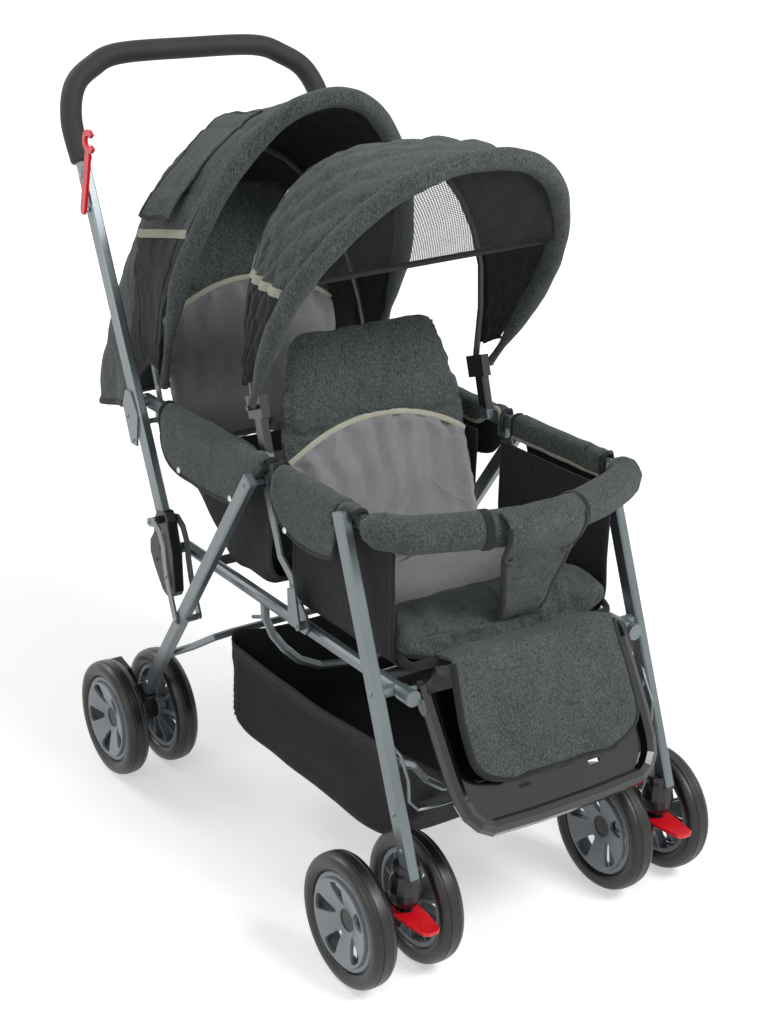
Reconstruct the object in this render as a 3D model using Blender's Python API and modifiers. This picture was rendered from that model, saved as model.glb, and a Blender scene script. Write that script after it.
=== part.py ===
"""Tandem pushchair: two seats one behind the other, twin wheels, two folding canopies.

Metres, +Z up. The child faces -Y. Sizes are given from the front wheel hubs (y = 0), and
the whole object then moves by CENTRE_SHIFT, so that its bounding box is centred in y.
Side R is the child's right hand (-X) and side L the left (+X).
"""
from math import asin, atan2, copysign, cos, hypot, pi, radians, sin

import bmesh
import bpy
from mathutils import Vector

NAME = "tandem_pushchair"
SIDES = (("R", -1), ("L", 1))

# Whole object
CENTRE_SHIFT = -0.3964
GAP = 0.0003

# Wheels
WHEEL_RADIUS = 0.0875
TYRE_WIDTH = 0.0335
TYRE_STEPS = 24
TYRE_HEIGHT = 0.0227
RIM_RADIUS = WHEEL_RADIUS - TYRE_HEIGHT
HUB_STEPS = 15
SPOKES = 5
AXLE_RADIUS = 0.004
BORE_END = 0.0032
FRONT_TWIN = (0.155, 0.2544)
REAR_TWIN = (0.180, 0.261)

# Side layers, as distances from the centre plane
RAIL_X = 0.175
RAIL_RADIUS = 0.009
ARM_IN, ARM_OUT = 0.186, 0.194
TUBE_WIDTH, STRAP_WIDTH = 0.014, 0.003
LINK_IN, LINK_OUT = 0.1945, 0.1975
LEG_IN = 0.199
LEG_OUT = LEG_IN + TUBE_WIDTH
LEG_X = (LEG_IN + LEG_OUT) / 2
FOOT_IN, FOOT_OUT = LEG_IN - 0.0014, LEG_OUT + 0.0005
REAR_IN = FOOT_OUT + GAP
REAR_OUT = REAR_IN + TUBE_WIDTH
REAR_X = (REAR_IN + REAR_OUT) / 2
STRAP_IN = REAR_OUT + 0.0005
STRAP_OUT = STRAP_IN + STRAP_WIDTH
INNER_STRAP = (0.1915, 0.1945)
HOOK_IN = LEG_OUT + 0.006
HOOK_OUT = HOOK_IN + 0.0045
HOOK_RIM = 0.0002
LEG_DEPTH = 0.022
REAR_DEPTH = 0.020
RIVET_RADIUS = 0.004
RIVET_HEAD = 0.0018

# Pivots of the fold, as (y, z)
BAR_PIVOT = (0.552, 0.375)
FRONT_PIVOT = (0.0215, 0.375)
FOLD_ARM = (0.077, 0.200)
ARM_FRONT_PIVOT = (FRONT_PIVOT[0] + FOLD_ARM[0], FRONT_PIVOT[1] + FOLD_ARM[1])
ARM_REAR_PIVOT = (BAR_PIVOT[0] + FOLD_ARM[0], BAR_PIVOT[1] + FOLD_ARM[1])
REAR_LEG_PIVOT = (0.296, 0.559)
MID_LINK_PIVOT = (0.216, 0.385)
REAR_LINK_EAR = (0.560, 0.421)
LOCK_PIVOT = (0.555, 0.383)
HOOK_PIVOT = (0.751, 0.829)
FOOTREST_PIVOT = (-0.002, 0.382)
FRONT_BACK_PIVOT = (0.268, 0.402)
REAR_BACK_PIVOT = (0.6103, 0.4985)
FRONT_CANOPY_PIVOT = (0.337, 0.645)
REAR_CANOPY_PIVOT = (0.612, 0.575)

# Legs and push bar
FRONT_LEG_SLOPE = 0.384
FRONT_LEG_TOP, FRONT_LEG_FOOT = 0.584, 0.160
BAR_SLOPE = 0.469
BAR_Y, BAR_Z = 0.605, 0.517
BAR_FOOT, BAR_TOP = 0.405, 0.884
GRIP_RADIUS, HANDLE_RADIUS = 0.0155, 0.010
REAR_LEG_LENGTH = 0.524
REAR_NECK = 0.052549
REAR_HUB_DROP = 0.005873
REAR_LEG_RISE = REAR_LEG_PIVOT[1] - WHEEL_RADIUS - REAR_HUB_DROP
REAR_LEG_ANGLE = asin(REAR_LEG_RISE / (REAR_LEG_LENGTH + REAR_NECK))
REAR_LINK_PLACE, BASKET_BOW_PLACE = 0.3264, 0.4195
RAIL_START, RAIL_END = 0.002, 0.5508
SEAT_Z = 0.375

# Casters
SWIVEL_Y = -0.047
SWIVEL_X = sum(FRONT_TWIN) / 2
SOCKET_BASE = 0.1185
LOCK_LEVER_Z = 0.1098
LOCK_LEVER_PIVOT = (-0.034, LOCK_LEVER_Z)
LOCK_PIN = 0.0011

# Seats and soft goods
WALL_X = 0.1672
WALL_TOP = 0.555
CLOTH = 0.004
CANOPY_CLOTH = 0.0024
FLOOR_Z = 0.3875
FRONT_RECLINE, REAR_RECLINE = 17.0, 17.2
PAD_RADIUS = 0.0135
BUMPER_RADIUS = 0.022
BUMPER_Z = 0.572
CANOPY_PIN = 0.0026


def front_leg_y(z):
    return FRONT_PIVOT[0] + FRONT_LEG_SLOPE * (z - FRONT_PIVOT[1])


def bar_y(z):
    return BAR_Y + BAR_SLOPE * (z - BAR_Z)


def rear_leg_at(distance):
    return (REAR_LEG_PIVOT[0] + distance * cos(REAR_LEG_ANGLE),
            REAR_LEG_PIVOT[1] - distance * sin(REAR_LEG_ANGLE))


REAR_HUB_Y = rear_leg_at(REAR_LEG_LENGTH + REAR_NECK)[0]
REAR_LINK_LOW = rear_leg_at(REAR_LINK_PLACE)
BRAKE_PIVOT = (REAR_HUB_Y + 0.026, WHEEL_RADIUS + 0.0295)


# Scene and collections
for old in list(bpy.data.objects):
    bpy.data.objects.remove(old, do_unlink=True)
parts = bpy.data.collections.new(NAME)
cutters = bpy.data.collections.new("cutters")
bpy.context.scene.collection.children.link(parts)
bpy.context.scene.collection.children.link(cutters)

PAINT = {
    "frame_grey": ((0.156, 0.195, 0.202, 1), 0.38, 0.55),
    "black_plastic": ((0.012, 0.012, 0.014, 1), 0.42, 0.0),
    "gloss_black": ((0.008, 0.007, 0.007, 1), 0.16, 0.0),
    "brown_plastic": ((0.045, 0.032, 0.027, 1), 0.5, 0.0),
    "red_plastic": ((0.72, 0.008, 0.016, 1), 0.35, 0.0),
    "grip_foam": ((0.022, 0.020, 0.024, 1), 0.7, 0.0),
    "tyre_rubber": ((0.014, 0.013, 0.011, 1), 0.5, 0.0),
    "wheel_grey": ((0.215, 0.243, 0.262, 1), 0.4, 0.0),
    "green_cloth": ((0.048, 0.065, 0.061, 1), 0.95, 0.0),
    "black_cloth": ((0.008, 0.008, 0.010, 1), 0.9, 0.0),
    "black_mesh": ((0.010, 0.010, 0.014, 1), 0.85, 0.0),
}
materials = {}
for paint_name, (colour, roughness, metallic) in PAINT.items():
    material = bpy.data.materials.new(paint_name)
    material.use_nodes = True
    shader = material.node_tree.nodes["Principled BSDF"]
    shader.inputs["Base Color"].default_value = colour
    shader.inputs["Roughness"].default_value = roughness
    shader.inputs["Metallic"].default_value = metallic
    materials[paint_name] = material


# Modelling helpers
def add(name, data, collection=parts):
    obj = bpy.data.objects.new(name, data)
    collection.objects.link(obj)
    return obj


def box(name, size, centre, tilt=0.0):
    """Box of the given size, turned by tilt about the X axis."""
    mesh = bpy.data.meshes.new(name)
    shape = bmesh.new()
    bmesh.ops.create_cube(shape, size=1.0)
    bmesh.ops.scale(shape, vec=size, verts=shape.verts)
    shape.to_mesh(mesh)
    shape.free()
    obj = add(name, mesh)
    obj.location = centre
    obj.rotation_euler = (tilt, 0, 0)
    return obj


def bar(name, start, end, x_mid, width, depth):
    """Straight bar between two (y, z) points, centred on x_mid."""
    run_y, run_z = end[0] - start[0], end[1] - start[1]
    centre = (x_mid, (start[0] + end[0]) / 2, (start[1] + end[1]) / 2)
    obj = box(name, (width, depth, hypot(run_y, run_z)), centre, atan2(-run_y, run_z))
    bevel(obj, 0.0022, 1)
    return obj


def bevel(obj, width, segments=1, angle=40):
    edge = obj.modifiers.new("Bevel", "BEVEL")
    edge.width = width
    edge.segments = segments
    edge.limit_method = "ANGLE"
    edge.angle_limit = radians(angle)


def pin(name, y, z, x_from, x_to, radius, sides=8):
    """Round pin along X between two distances from the centre plane."""
    mesh = bpy.data.meshes.new(name)
    shape = bmesh.new()
    bmesh.ops.create_cone(shape, cap_ends=True, segments=sides, radius1=radius,
                          radius2=radius, depth=abs(x_to - x_from))
    shape.to_mesh(mesh)
    shape.free()
    mesh.shade_smooth()
    mesh.set_sharp_from_angle(angle=radians(40))
    obj = add(name, mesh)
    obj.location = ((x_from + x_to) / 2, y, z)
    obj.rotation_euler = (0, pi / 2, 0)
    return obj


def rivet(side, y, z, x_face):
    """Low domed rivet head standing on an outer side face."""
    mesh = bpy.data.meshes.new("rivet")
    shape = bmesh.new()
    bmesh.ops.create_cone(shape, cap_ends=True, segments=6, radius1=RIVET_RADIUS,
                          radius2=RIVET_RADIUS * 0.6, depth=RIVET_HEAD + 0.001)
    shape.to_mesh(mesh)
    shape.free()
    obj = add("rivet", mesh)
    obj.location = (side * (x_face + RIVET_HEAD / 2 - 0.0005), y, z)
    obj.rotation_euler = (0, side * pi / 2, 0)
    return obj


def smooth_path(points, steps):
    """Catmull-Rom curve through the points, with steps pieces in each span."""
    spots = [Vector(p) for p in points]
    ends = [spots[0] * 2 - spots[1]] + spots + [spots[-1] * 2 - spots[-2]]
    path = []
    for a, b, c, d in zip(ends, ends[1:], ends[2:], ends[3:]):
        for i in range(steps):
            t = i / steps
            path.append(0.5 * (2 * b + (c - a) * t + (2 * a - 5 * b + 4 * c - d) * t * t
                               + (3 * b - a - 3 * c + d) * t ** 3))
    path.append(spots[-1])
    return path


def both_sides(points):
    """Path given for x >= 0 from the side to the centre, completed across the centre."""
    left = [Vector(p) for p in points]
    right = [Vector((-p.x, p.y, p.z)) for p in left]
    return right + left[-2::-1] if left[-1].x == 0 else right + left[::-1]


def tube(name, path, radius, factors=None, resolution=2, caps=True):
    curve = bpy.data.curves.new(name, "CURVE")
    curve.dimensions = "3D"
    curve.bevel_depth = radius
    curve.bevel_resolution = resolution
    curve.use_fill_caps = caps
    spline = curve.splines.new("POLY")
    spline.points.add(len(path) - 1)
    for i, spot in enumerate(path):
        spline.points[i].co = (*spot, 1)
        spline.points[i].radius = factors[i] if factors else 1.0
    return to_mesh(add(name, curve))


def to_mesh(obj):
    """Turn a curve object into a mesh object with its caps welded on."""
    bpy.context.view_layer.update()
    state = bpy.context.evaluated_depsgraph_get()
    mesh = bpy.data.meshes.new_from_object(obj.evaluated_get(state))
    shape = bmesh.new()
    shape.from_mesh(mesh)
    bmesh.ops.remove_doubles(shape, verts=shape.verts, dist=0.00001)
    shape.to_mesh(mesh)
    shape.free()
    name, place = obj.name, obj.matrix_world.copy()
    bpy.data.objects.remove(obj, do_unlink=True)
    made = add(name, mesh)
    made.name = name
    made.matrix_world = place
    return made


def plate(name, outlines, side, x_from, x_to):
    """Flat plate across the given layer; outlines are closed (y, z) loops, holes after."""
    curve = bpy.data.curves.new(name, "CURVE")
    curve.dimensions = "2D"
    curve.fill_mode = "BOTH"
    curve.extrude = (x_to - x_from) / 2
    for outline in outlines:
        spline = curve.splines.new("POLY")
        spline.points.add(len(outline) - 1)
        for i, (y, z) in enumerate(outline):
            spline.points[i].co = (y, z, 0, 1)
        spline.use_cyclic_u = True
    obj = add(name, curve)
    obj.location = (side * (x_from + x_to) / 2, 0, 0)
    obj.rotation_euler = (pi / 2, 0, pi / 2)
    return to_mesh(obj)


def circle(centre, radius, count=12, start=0.0, sweep=360.0):
    """Points of a circle or arc round a (y, z) centre, angles in degrees."""
    full = sweep == 360.0
    steps = count if full else count - 1
    spots = []
    for i in range(count):
        angle = radians(start + sweep * i / steps)
        spots.append((centre[0] + radius * cos(angle), centre[1] + radius * sin(angle)))
    return spots


def strap(spine, half_width, end_points=4):
    """Outline of a strap with round ends along a (y, z) spine."""
    spots = [Vector(p) for p in spine]
    sides = ([], [])
    for i, spot in enumerate(spots):
        along = (spots[min(i + 1, len(spots) - 1)] - spots[max(i - 1, 0)]).normalized()
        across = Vector((-along.y, along.x)) * half_width
        sides[0].append(tuple(spot + across))
        sides[1].append(tuple(spot - across))
    outline = list(sides[0])
    for centre, ahead in ((spots[-1], spots[-1] - spots[-2]), (spots[0], spots[0] - spots[1])):
        turn = atan2(ahead.y, ahead.x) * 180 / pi
        outline += circle(centre, half_width, end_points, turn + 90, -180)[1:-1]
        outline += sides[1][::-1] if centre is spots[-1] else []
    return outline


def lathe(name, profile, steps, along_x=True, closed=False):
    """Turned piece; the profile is (radius, height) and runs down its outer side."""
    mesh = bpy.data.meshes.new(name)
    shape = bmesh.new()
    spots = [shape.verts.new((r, 0, h)) for r, h in profile]
    for a, b in zip(spots, spots[1:] + ([spots[0]] if closed else [])):
        if a is not b:
            shape.edges.new((a, b))
    shape.to_mesh(mesh)
    shape.free()
    obj = add(name, mesh)
    turn = obj.modifiers.new("Screw", "SCREW")
    turn.steps = steps
    turn.render_steps = steps
    turn.use_merge_vertices = True
    turn.merge_threshold = 0.00001
    turn.use_smooth_shade = True
    if along_x:
        obj.rotation_euler = (0, pi / 2, 0)
    return obj


def grid(name, rows, skip=(), close_rows=False):
    """Open surface through rows of points; skip lists (row, column) faces left out."""
    mesh = bpy.data.meshes.new(name)
    shape = bmesh.new()
    spots = [[shape.verts.new(p) for p in row] for row in rows]
    wide = len(rows[0])
    for i in range(len(rows) - 1):
        for j in range(wide if close_rows else wide - 1):
            if (i, j) not in skip:
                k = (j + 1) % wide
                shape.faces.new((spots[i][j], spots[i][k], spots[i + 1][k], spots[i + 1][j]))
    bmesh.ops.delete(shape, geom=[v for v in shape.verts if not v.link_faces], context="VERTS")
    if close_rows:
        shape.faces.new(spots[0][::-1])
        shape.faces.new(spots[-1])
        bmesh.ops.recalc_face_normals(shape, faces=shape.faces)
    shape.to_mesh(mesh)
    shape.free()
    mesh.shade_smooth()
    return add(name, mesh)


def sheet(name, rows, thickness, levels=0, skip=()):
    """Cloth: an open surface with its thickness spread evenly to both faces."""
    obj = grid(name, rows, skip)
    if levels:
        subdivide(obj, levels)
    shell = obj.modifiers.new("Solidify", "SOLIDIFY")
    shell.thickness = thickness
    shell.offset = 0
    return obj


def loft(name, rings, levels=1):
    """Closed soft form through rings of points."""
    obj = grid(name, rings, close_rows=True)
    if levels:
        subdivide(obj, levels)
    return obj


def subdivide(obj, levels):
    smooth = obj.modifiers.new("Subdivision", "SUBSURF")
    smooth.levels = levels
    smooth.render_levels = levels


def join(obj, others, operation="UNION"):
    """Boolean of the object with each of the others, which become cutters."""
    for other in others:
        step = obj.modifiers.new("Join", "BOOLEAN")
        step.operation = operation
        step.solver = "EXACT"
        step.object = other
        parts.objects.unlink(other)
        cutters.objects.link(other)
        other.hide_render = True
        other.display_type = "WIRE"
        other["of"] = obj.name


def cut(obj, others):
    join(obj, others, "DIFFERENCE")


# Bodies: an empty on each joint's axis, and the pieces that it carries
origin = add("pushchair_origin", None)
origin.location = (0, CENTRE_SHIFT, 0)


def body(name, x=0.0, pivot=(0.0, 0.0)):
    empty = add(name, None)
    empty.empty_display_size = 0.03
    empty.parent = origin
    empty.location = (x, pivot[0], pivot[1])
    return empty


def carry(empty, paint, *objects):
    """Paint the pieces and parent them, with their cutters, to their body's empty."""
    for obj in objects:
        obj.data.materials.clear()
        obj.data.materials.append(materials[paint])
        family = [obj] + [c for c in cutters.objects if c.get("of") == obj.name]
        for member in family:
            member.parent = empty
            member.location = member.location - empty.location


def arch(base, apex, half, base_half, exponent, count, start=0.0):
    """Canopy arch from side to side; base and apex are (y, z)."""
    spots = []
    for i in range(count + 1):
        angle = pi * (start + (1 - 2 * start) * i / count)
        up = sin(angle) ** (2 / exponent)
        width = base_half + (half - base_half) * min(1.0, 2 * up)
        x = -copysign(width * abs(cos(angle)) ** (2 / exponent), cos(angle))
        spots.append((x, base[0] + up * (apex[0] - base[0]), base[1] + up * (apex[1] - base[1])))
    return spots


def polar(centre, angle, radius):
    """Point at an angle behind vertical, in degrees, from a (y, z) centre."""
    return (centre[0] + radius * sin(radians(angle)), centre[1] + radius * cos(radians(angle)))


# Seat frame: rails, cross tubes, foot bow of the rear child, pivot bosses
def make_seat_frame():
    rail_length = RAIL_END - RAIL_START
    frame = None
    extra = []
    for _, side in SIDES:
        rail = pin("rail", 0, 0, 0, rail_length, RAIL_RADIUS, 12)
        rail.rotation_euler = (pi / 2, 0, 0)
        rail.location = (side * RAIL_X, RAIL_START + rail_length / 2, SEAT_Z)
        cap = pin("cap", 0, 0, 0, 0.024, RAIL_RADIUS + 0.0018, 12)
        cap.rotation_euler = (pi / 2, 0, 0)
        cap.location = (side * RAIL_X, FOOTREST_PIVOT[0], SEAT_Z)
        if frame is None:
            frame = rail
        else:
            extra.append(rail)
        extra.append(cap)
        for (y, z), reach, radius in ((FRONT_PIVOT, LEG_IN - GAP, 0.008),
                                      (BAR_PIVOT, FOOT_IN - GAP, 0.008)):
            extra.append(pin("boss", y, z, side * RAIL_X, side * reach, radius))
        lug = plate("lug", [[(0.213, 0.372), (0.205, 0.385), (0.210, 0.398), (0.237, 0.424),
                             (0.258, 0.421), (0.256, 0.372)]], side, 0.1835, 0.1865)
        extra += [lug, pin("boss", *MID_LINK_PIVOT, side * 0.180, side * (LINK_IN - GAP), 0.006),
                  rivet(side, 0.229, 0.413, 0.1865),
                  pin("foot_pin", *FOOTREST_PIVOT, side * 0.1635, side * RAIL_X, 0.004)]
    for y in (0.058, 0.480):
        extra.append(pin("cross_tube", y, SEAT_Z, -RAIL_X, RAIL_X, 0.0075))
    foot_bow = both_sides([(0.175, 0.335, 0.368), (0.1725, 0.338, 0.345), (0.160, 0.340, 0.316),
                           (0.142, 0.340, 0.291), (0.118, 0.340, 0.267), (0.085, 0.340, 0.250),
                           (0.040, 0.340, 0.242), (0, 0.340, 0.240)])
    extra.append(tube("foot_bow", foot_bow, 0.0063))
    extra.append(tube("peg", [(-0.172, 0.338, 0.346), (-0.172, 0.372, 0.333)], 0.003, resolution=1))
    frame.name = "seat_frame"
    join(frame, extra)
    return frame


# Cloth seat shells hang between the armrests and lie on the rails
def shell_row(y, floor, top):
    half = [(-WALL_X, y, top), (-WALL_X, y, (top + floor) / 2), (-WALL_X, y, floor + 0.022),
            (-WALL_X + 0.012, y, floor + 0.002), (-0.09, y, floor)]
    return half + [(0, y, floor - 0.001)] + [(-x, a, b) for x, a, b in half[::-1]]


def make_shell(name, stations, sleeve_y):
    shell = sheet(name, [shell_row(*station) for station in stations], CLOTH)
    sleeves = []
    for _, side in SIDES:
        inner, outer, half = RAIL_RADIUS + 0.0009, RAIL_RADIUS + 0.0028, 0.016
        sleeve = lathe("sleeve", [(inner, half), (outer, half), (outer, -half), (inner, -half)],
                       8, along_x=False, closed=True)
        sleeve.rotation_euler = (pi / 2, 0, 0)
        sleeve.location = (side * RAIL_X, sleeve_y, SEAT_Z)
        tab = box("tab", (0.016, 0.024, 0.006), (side * 0.1640, sleeve_y, 0.3865))
        sleeves += [sleeve, tab]
    join(shell, sleeves)
    return shell


def cushion_ring(y, half, base, crown, lift=0.0):
    """Section of a cushion across the seat, rounded at its sides."""
    low, mid, high = base, (base + crown) / 2, crown
    right = [(-half * 0.80, low + lift * 0.5), (-half, mid + lift),
             (-half * 0.80, high - 0.002 + lift * 0.7)]
    ring = [(0, low)] + right + [(0, high + 0.003)]
    ring += [(-x, z) for x, z in right[::-1]]
    return [(x, y, z) for x, z in ring]


def make_front_cushion():
    base = FLOOR_Z + CLOTH / 2 - 0.0006
    rings = [cushion_ring(0.024, 0.145, base + 0.010, 0.424, 0.016),
             cushion_ring(0.028, 0.156, base + 0.003, 0.440, 0.016),
             cushion_ring(0.070, 0.158, base, 0.446, 0.006),
             cushion_ring(0.150, 0.160, base, 0.444),
             cushion_ring(0.261, 0.156, base, 0.436),
             cushion_ring(0.2677, 0.146, base + 0.006, 0.425)]
    return loft("front_cushion", rings)


def make_rear_cushion():
    base = FLOOR_Z + CLOTH / 2 - 0.0022
    rings = [cushion_ring(0.356, 0.146, base + 0.010, 0.438),
             cushion_ring(0.362, 0.156, base + 0.004, 0.452),
             cushion_ring(0.400, 0.159, base, 0.460),
             cushion_ring(0.448, 0.160, base + 0.006, 0.467),
             cushion_ring(0.548, 0.157, base + 0.078, 0.503),
             cushion_ring(0.556, 0.146, base + 0.090, 0.503)]
    return loft("rear_cushion", rings)


# Backrests: padded boards that recline about their lower edge
def make_backrest(name, pivot, recline, thickness, outline):
    """The outline lists (distance up the board, half width, depth factor)."""
    up = Vector((0, sin(radians(recline)), cos(radians(recline))))
    back = Vector((0, cos(radians(recline)), -sin(radians(recline))))
    rings = []
    for height, half, depth in outline:
        thick = thickness * depth
        section = [(0, -0.15), (0.75, 0.0), (1.04, 0.5), (0.75, 1.0)]
        section += [(0, 1.05)] + [(-a, b) for a, b in section[:0:-1]]
        base = Vector((0, *pivot)) + up * height
        rings.append([tuple(base + Vector((a * half, 0, 0)) + back * (b * thick))
                      for a, b in section])
    return loft(name, rings)


# Basket: a sling open at the top, between the front and rear bows
def basket_row(y, half, top, floor):
    side = [(-half, top), (-half, (2 * top + floor) / 3), (-half, (top + 2 * floor) / 3),
            (-half + 0.006, floor + 0.008), (-half * 0.6, floor)]
    row = side + [(0, floor - 0.003)] + [(-x, z) for x, z in side[::-1]]
    return [(x, y, z) for x, z in row]


def make_basket():
    rows = [basket_row(-0.0129, 0.116, 0.246, 0.2375),
            basket_row(-0.003, 0.118, 0.246, 0.226),
            basket_row(0.030, 0.122, 0.243, 0.190),
            basket_row(0.072, 0.126, 0.240, 0.138),
            basket_row(0.118, 0.131, 0.238, 0.101),
            basket_row(0.240, 0.137, 0.232, 0.096),
            basket_row(0.360, 0.139, 0.232, 0.096),
            basket_row(0.470, 0.139, 0.234, 0.099),
            basket_row(0.486, 0.138, 0.236, 0.125),
            basket_row(0.4915, 0.137, 0.240, 0.210),
            basket_row(0.4938, 0.130, 0.2500, 0.240)]
    return sheet("basket", rows, 0.0024)


# Footrest tray: a moulded panel in a thick rounded lip
def footrest_point(x, down, out=0.0):
    """Point on the tray plane: x, distance down the tray, distance out of its front."""
    lean = radians(32)
    return (x, FOOTREST_PIVOT[0] - down * sin(lean) - out * cos(lean),
            FOOTREST_PIVOT[1] - down * cos(lean) + out * sin(lean))


def make_footrest():
    lip = 0.0105
    length, top_half, low_half, corner = 0.200, 0.1535, 0.149, 0.048
    side = [(top_half, 0.012), (top_half - 0.001, 0.060), (top_half - 0.002, 0.110)]
    bend = [(low_half - corner + corner * sin(radians(a)),
             length - lip - corner + corner * cos(radians(a))) for a in (85, 62, 40, 20)]
    edge = both_sides([footrest_point(x, d) for x, d in side + bend]
                      + [footrest_point(0.05, length - lip), footrest_point(0, length - lip)])
    tray = tube("footrest", edge, lip)
    panel_edge = [(x - 0.002, d) for x, d in side + bend]
    loop = panel_edge + [(-x, d) for x, d in panel_edge[::-1]]
    slots = []
    for x, down in ((-0.052, 0.150), (0.058, 0.150)):
        slots.append([(x - 0.009, down - 0.002), (x + 0.009, down - 0.002),
                      (x + 0.009, down + 0.003), (x - 0.009, down + 0.003)])
    panel = bpy.data.curves.new("panel", "CURVE")
    panel.dimensions = "2D"
    panel.fill_mode = "BOTH"
    panel.extrude = 0.002
    for outline in [loop] + slots:
        spline = panel.splines.new("POLY")
        spline.points.add(len(outline) - 1)
        for i, (x, down) in enumerate(outline):
            spline.points[i].co = (x, -down, 0, 1)
        spline.use_cyclic_u = True
    panel = add("panel", panel)
    panel.location = footrest_point(0, 0, -0.004)
    panel.rotation_euler = (radians(90 - 32), 0, 0)
    extra = [to_mesh(panel)]
    crease = tube("crease", [footrest_point(x, 0.136 if abs(x) < 0.09 else 0.128, -0.001)
                             for x in (-0.118, -0.09, 0.09, 0.118)], 0.0025, resolution=1)
    extra.append(crease)
    for _, side_sign in SIDES:
        ear = plate("ear", [strap([FOOTREST_PIVOT, footrest_point(0, 0.028)[1:]], 0.0082)],
                    side_sign, 0.1555, 0.1632)
        extra.append(ear)
    join(tray, extra)
    return tray


def make_apron():
    lean = radians(26)
    top = (-0.0215, 0.4150)
    rows = [[(0.118 * k / 4, 0.0238, 0.4085) for k in range(-4, 5)],
            [(0.120 * k / 4, -0.004, 0.4130) for k in range(-4, 5)]]
    for down, half in ((0, 0.124), (0.03, 0.126), (0.075, 0.130), (0.115, 0.130),
                       (0.138, 0.121), (0.152, 0.098), (0.157, 0.060)):
        rows.append([(half * k / 4, top[0] - down * sin(lean) - 0.002 * (16 - k * k) / 16,
                      top[1] - down * cos(lean)) for k in range(-4, 5)])
    return sheet("front_apron", rows, 0.006)


# Push bar: two flat-sided side tubes bent into one round handle
def make_push_bar():
    side = [(0.206, bar_y(0.872), 0.872), (0.2075, 0.780, 0.892), (0.2085, 0.806, 0.946),
            (0.192, 0.826, 0.990), (0.158, 0.838, 1.014), (0.112, 0.845, 1.029),
            (0, 0.846, 1.031)]
    path = smooth_path(both_sides(side), 2)
    handle = tube("push_bar", path, HANDLE_RADIUS, resolution=1)
    grip_path = [p for p in path if p.z > 0.889]
    grip = tube("handle_grip", grip_path, GRIP_RADIUS, caps=False)
    skin = grip.modifiers.new("Solidify", "SOLIDIFY")
    skin.thickness = GRIP_RADIUS - (HANDLE_RADIUS + GAP) / cos(pi / 8)
    skin.offset = -1
    extra = []
    for _, s in SIDES:
        foot, top = (bar_y(BAR_FOOT), BAR_FOOT), (bar_y(BAR_TOP), BAR_TOP)
        extra.append(bar("side_tube", foot, top, s * LEG_X, LEG_OUT - LEG_IN, LEG_DEPTH))
        extra.append(pin("arm_boss", *ARM_REAR_PIVOT, s * LEG_X, s * (ARM_OUT + GAP), 0.007))
        mount = [(0.622, 0.513), (0.616, 0.560), (0.636, 0.590), (0.652, 0.590), (0.662, 0.566),
                 (0.640, 0.513)]
        extra.append(plate("mount", [mount], s, LEG_OUT - 0.0005, LEG_OUT + 0.0025))
        extra.append(pin("mount_pin", 0.614, 0.550, s * LEG_X, s * 0.1830, 0.004))
        extra.append(plate("hinge_plate", [strap([(0.614, 0.550), REAR_CANOPY_PIVOT], 0.0075)],
                           s, 0.1816, 0.1845))
        extra.append(pin("canopy_pin", *REAR_CANOPY_PIVOT, s * 0.1740, s * 0.1830, CANOPY_PIN))
        extra += [rivet(s, 0.648, 0.551, LEG_OUT + 0.0025), rivet(s, 0.632, 0.519, LEG_OUT + 0.0025)]
    extra.append(pin("hook_pin", *HOOK_PIVOT, -LEG_X, -(HOOK_IN - HOOK_RIM), 0.003, 8))
    join(handle, extra)
    return handle, grip


def make_bar_foot(name, side):
    outline = [(0.522, 0.322), (0.528, 0.313), (0.548, 0.312), (0.560, 0.330), (0.577, 0.368),
               (0.582, 0.398), (0.578, 0.420), (0.569, 0.434), (0.548, 0.437), (0.538, 0.424),
               (0.524, 0.378)]
    foot = plate(name, [outline], side, FOOT_IN, FOOT_OUT)
    bevel(foot, 0.0015, 1)
    ear = pin("ear", *REAR_LINK_EAR, side * LEG_X, side * (STRAP_IN - GAP), 0.006)
    inner_ear = pin("ear", *REAR_LINK_EAR, side * LEG_X, side * (INNER_STRAP[1] + GAP), 0.006)
    join(foot, [ear, inner_ear])
    low, high = BAR_FOOT - 0.0004, 0.470
    cut(foot, [bar("pocket", (bar_y(low), low), (bar_y(high), high), side * LEG_X,
                   LEG_OUT - LEG_IN + 2 * GAP, LEG_DEPTH + 2 * GAP)])
    return foot


def make_lock_plate(name, side):
    outline = [(0.556, 0.399), (0.572, 0.399), (0.584, 0.384), (0.585, 0.366), (0.573, 0.346),
               (0.550, 0.318), (0.538, 0.313), (0.533, 0.330), (0.545, 0.360)]
    lock = plate(name, [outline], side, FOOT_OUT + 0.0008, FOOT_OUT + 0.0042)
    face = FOOT_OUT + 0.0042
    join(lock, [rivet(side, *spot, face) for spot in (LOCK_PIVOT, (0.566, 0.360), (0.543, 0.327))])
    return lock


def make_hook():
    (y, z), top = HOOK_PIVOT, (0.724, 0.929)
    spine = [(y, z), (0.739, 0.872), (0.728, 0.912)]
    shank = plate("fold_hook", [strap(spine, 0.0065)], -1, HOOK_IN, HOOK_OUT)
    ring = circle(top, 0.017, 10, 210, 290)
    bend = ring + circle(top, 0.0085, 8, 140, -290)
    join(shank, [plate("bend", [bend], -1, HOOK_IN - HOOK_RIM, HOOK_OUT + HOOK_RIM)])
    return shank


# Rear canopy on brackets of the push bar
def canopy_tabs(angle, x_from, x_to):
    """Flat hinge ends of a canopy bow, with the hole for the bracket's pin."""
    tip = polar(REAR_CANOPY_PIVOT, angle, 0.040)
    return [plate("tab", [strap([REAR_CANOPY_PIVOT, tip], 0.006),
                          circle(REAR_CANOPY_PIVOT, CANOPY_PIN + GAP, 8)], side, x_from, x_to)
            for _, side in SIDES]


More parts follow.
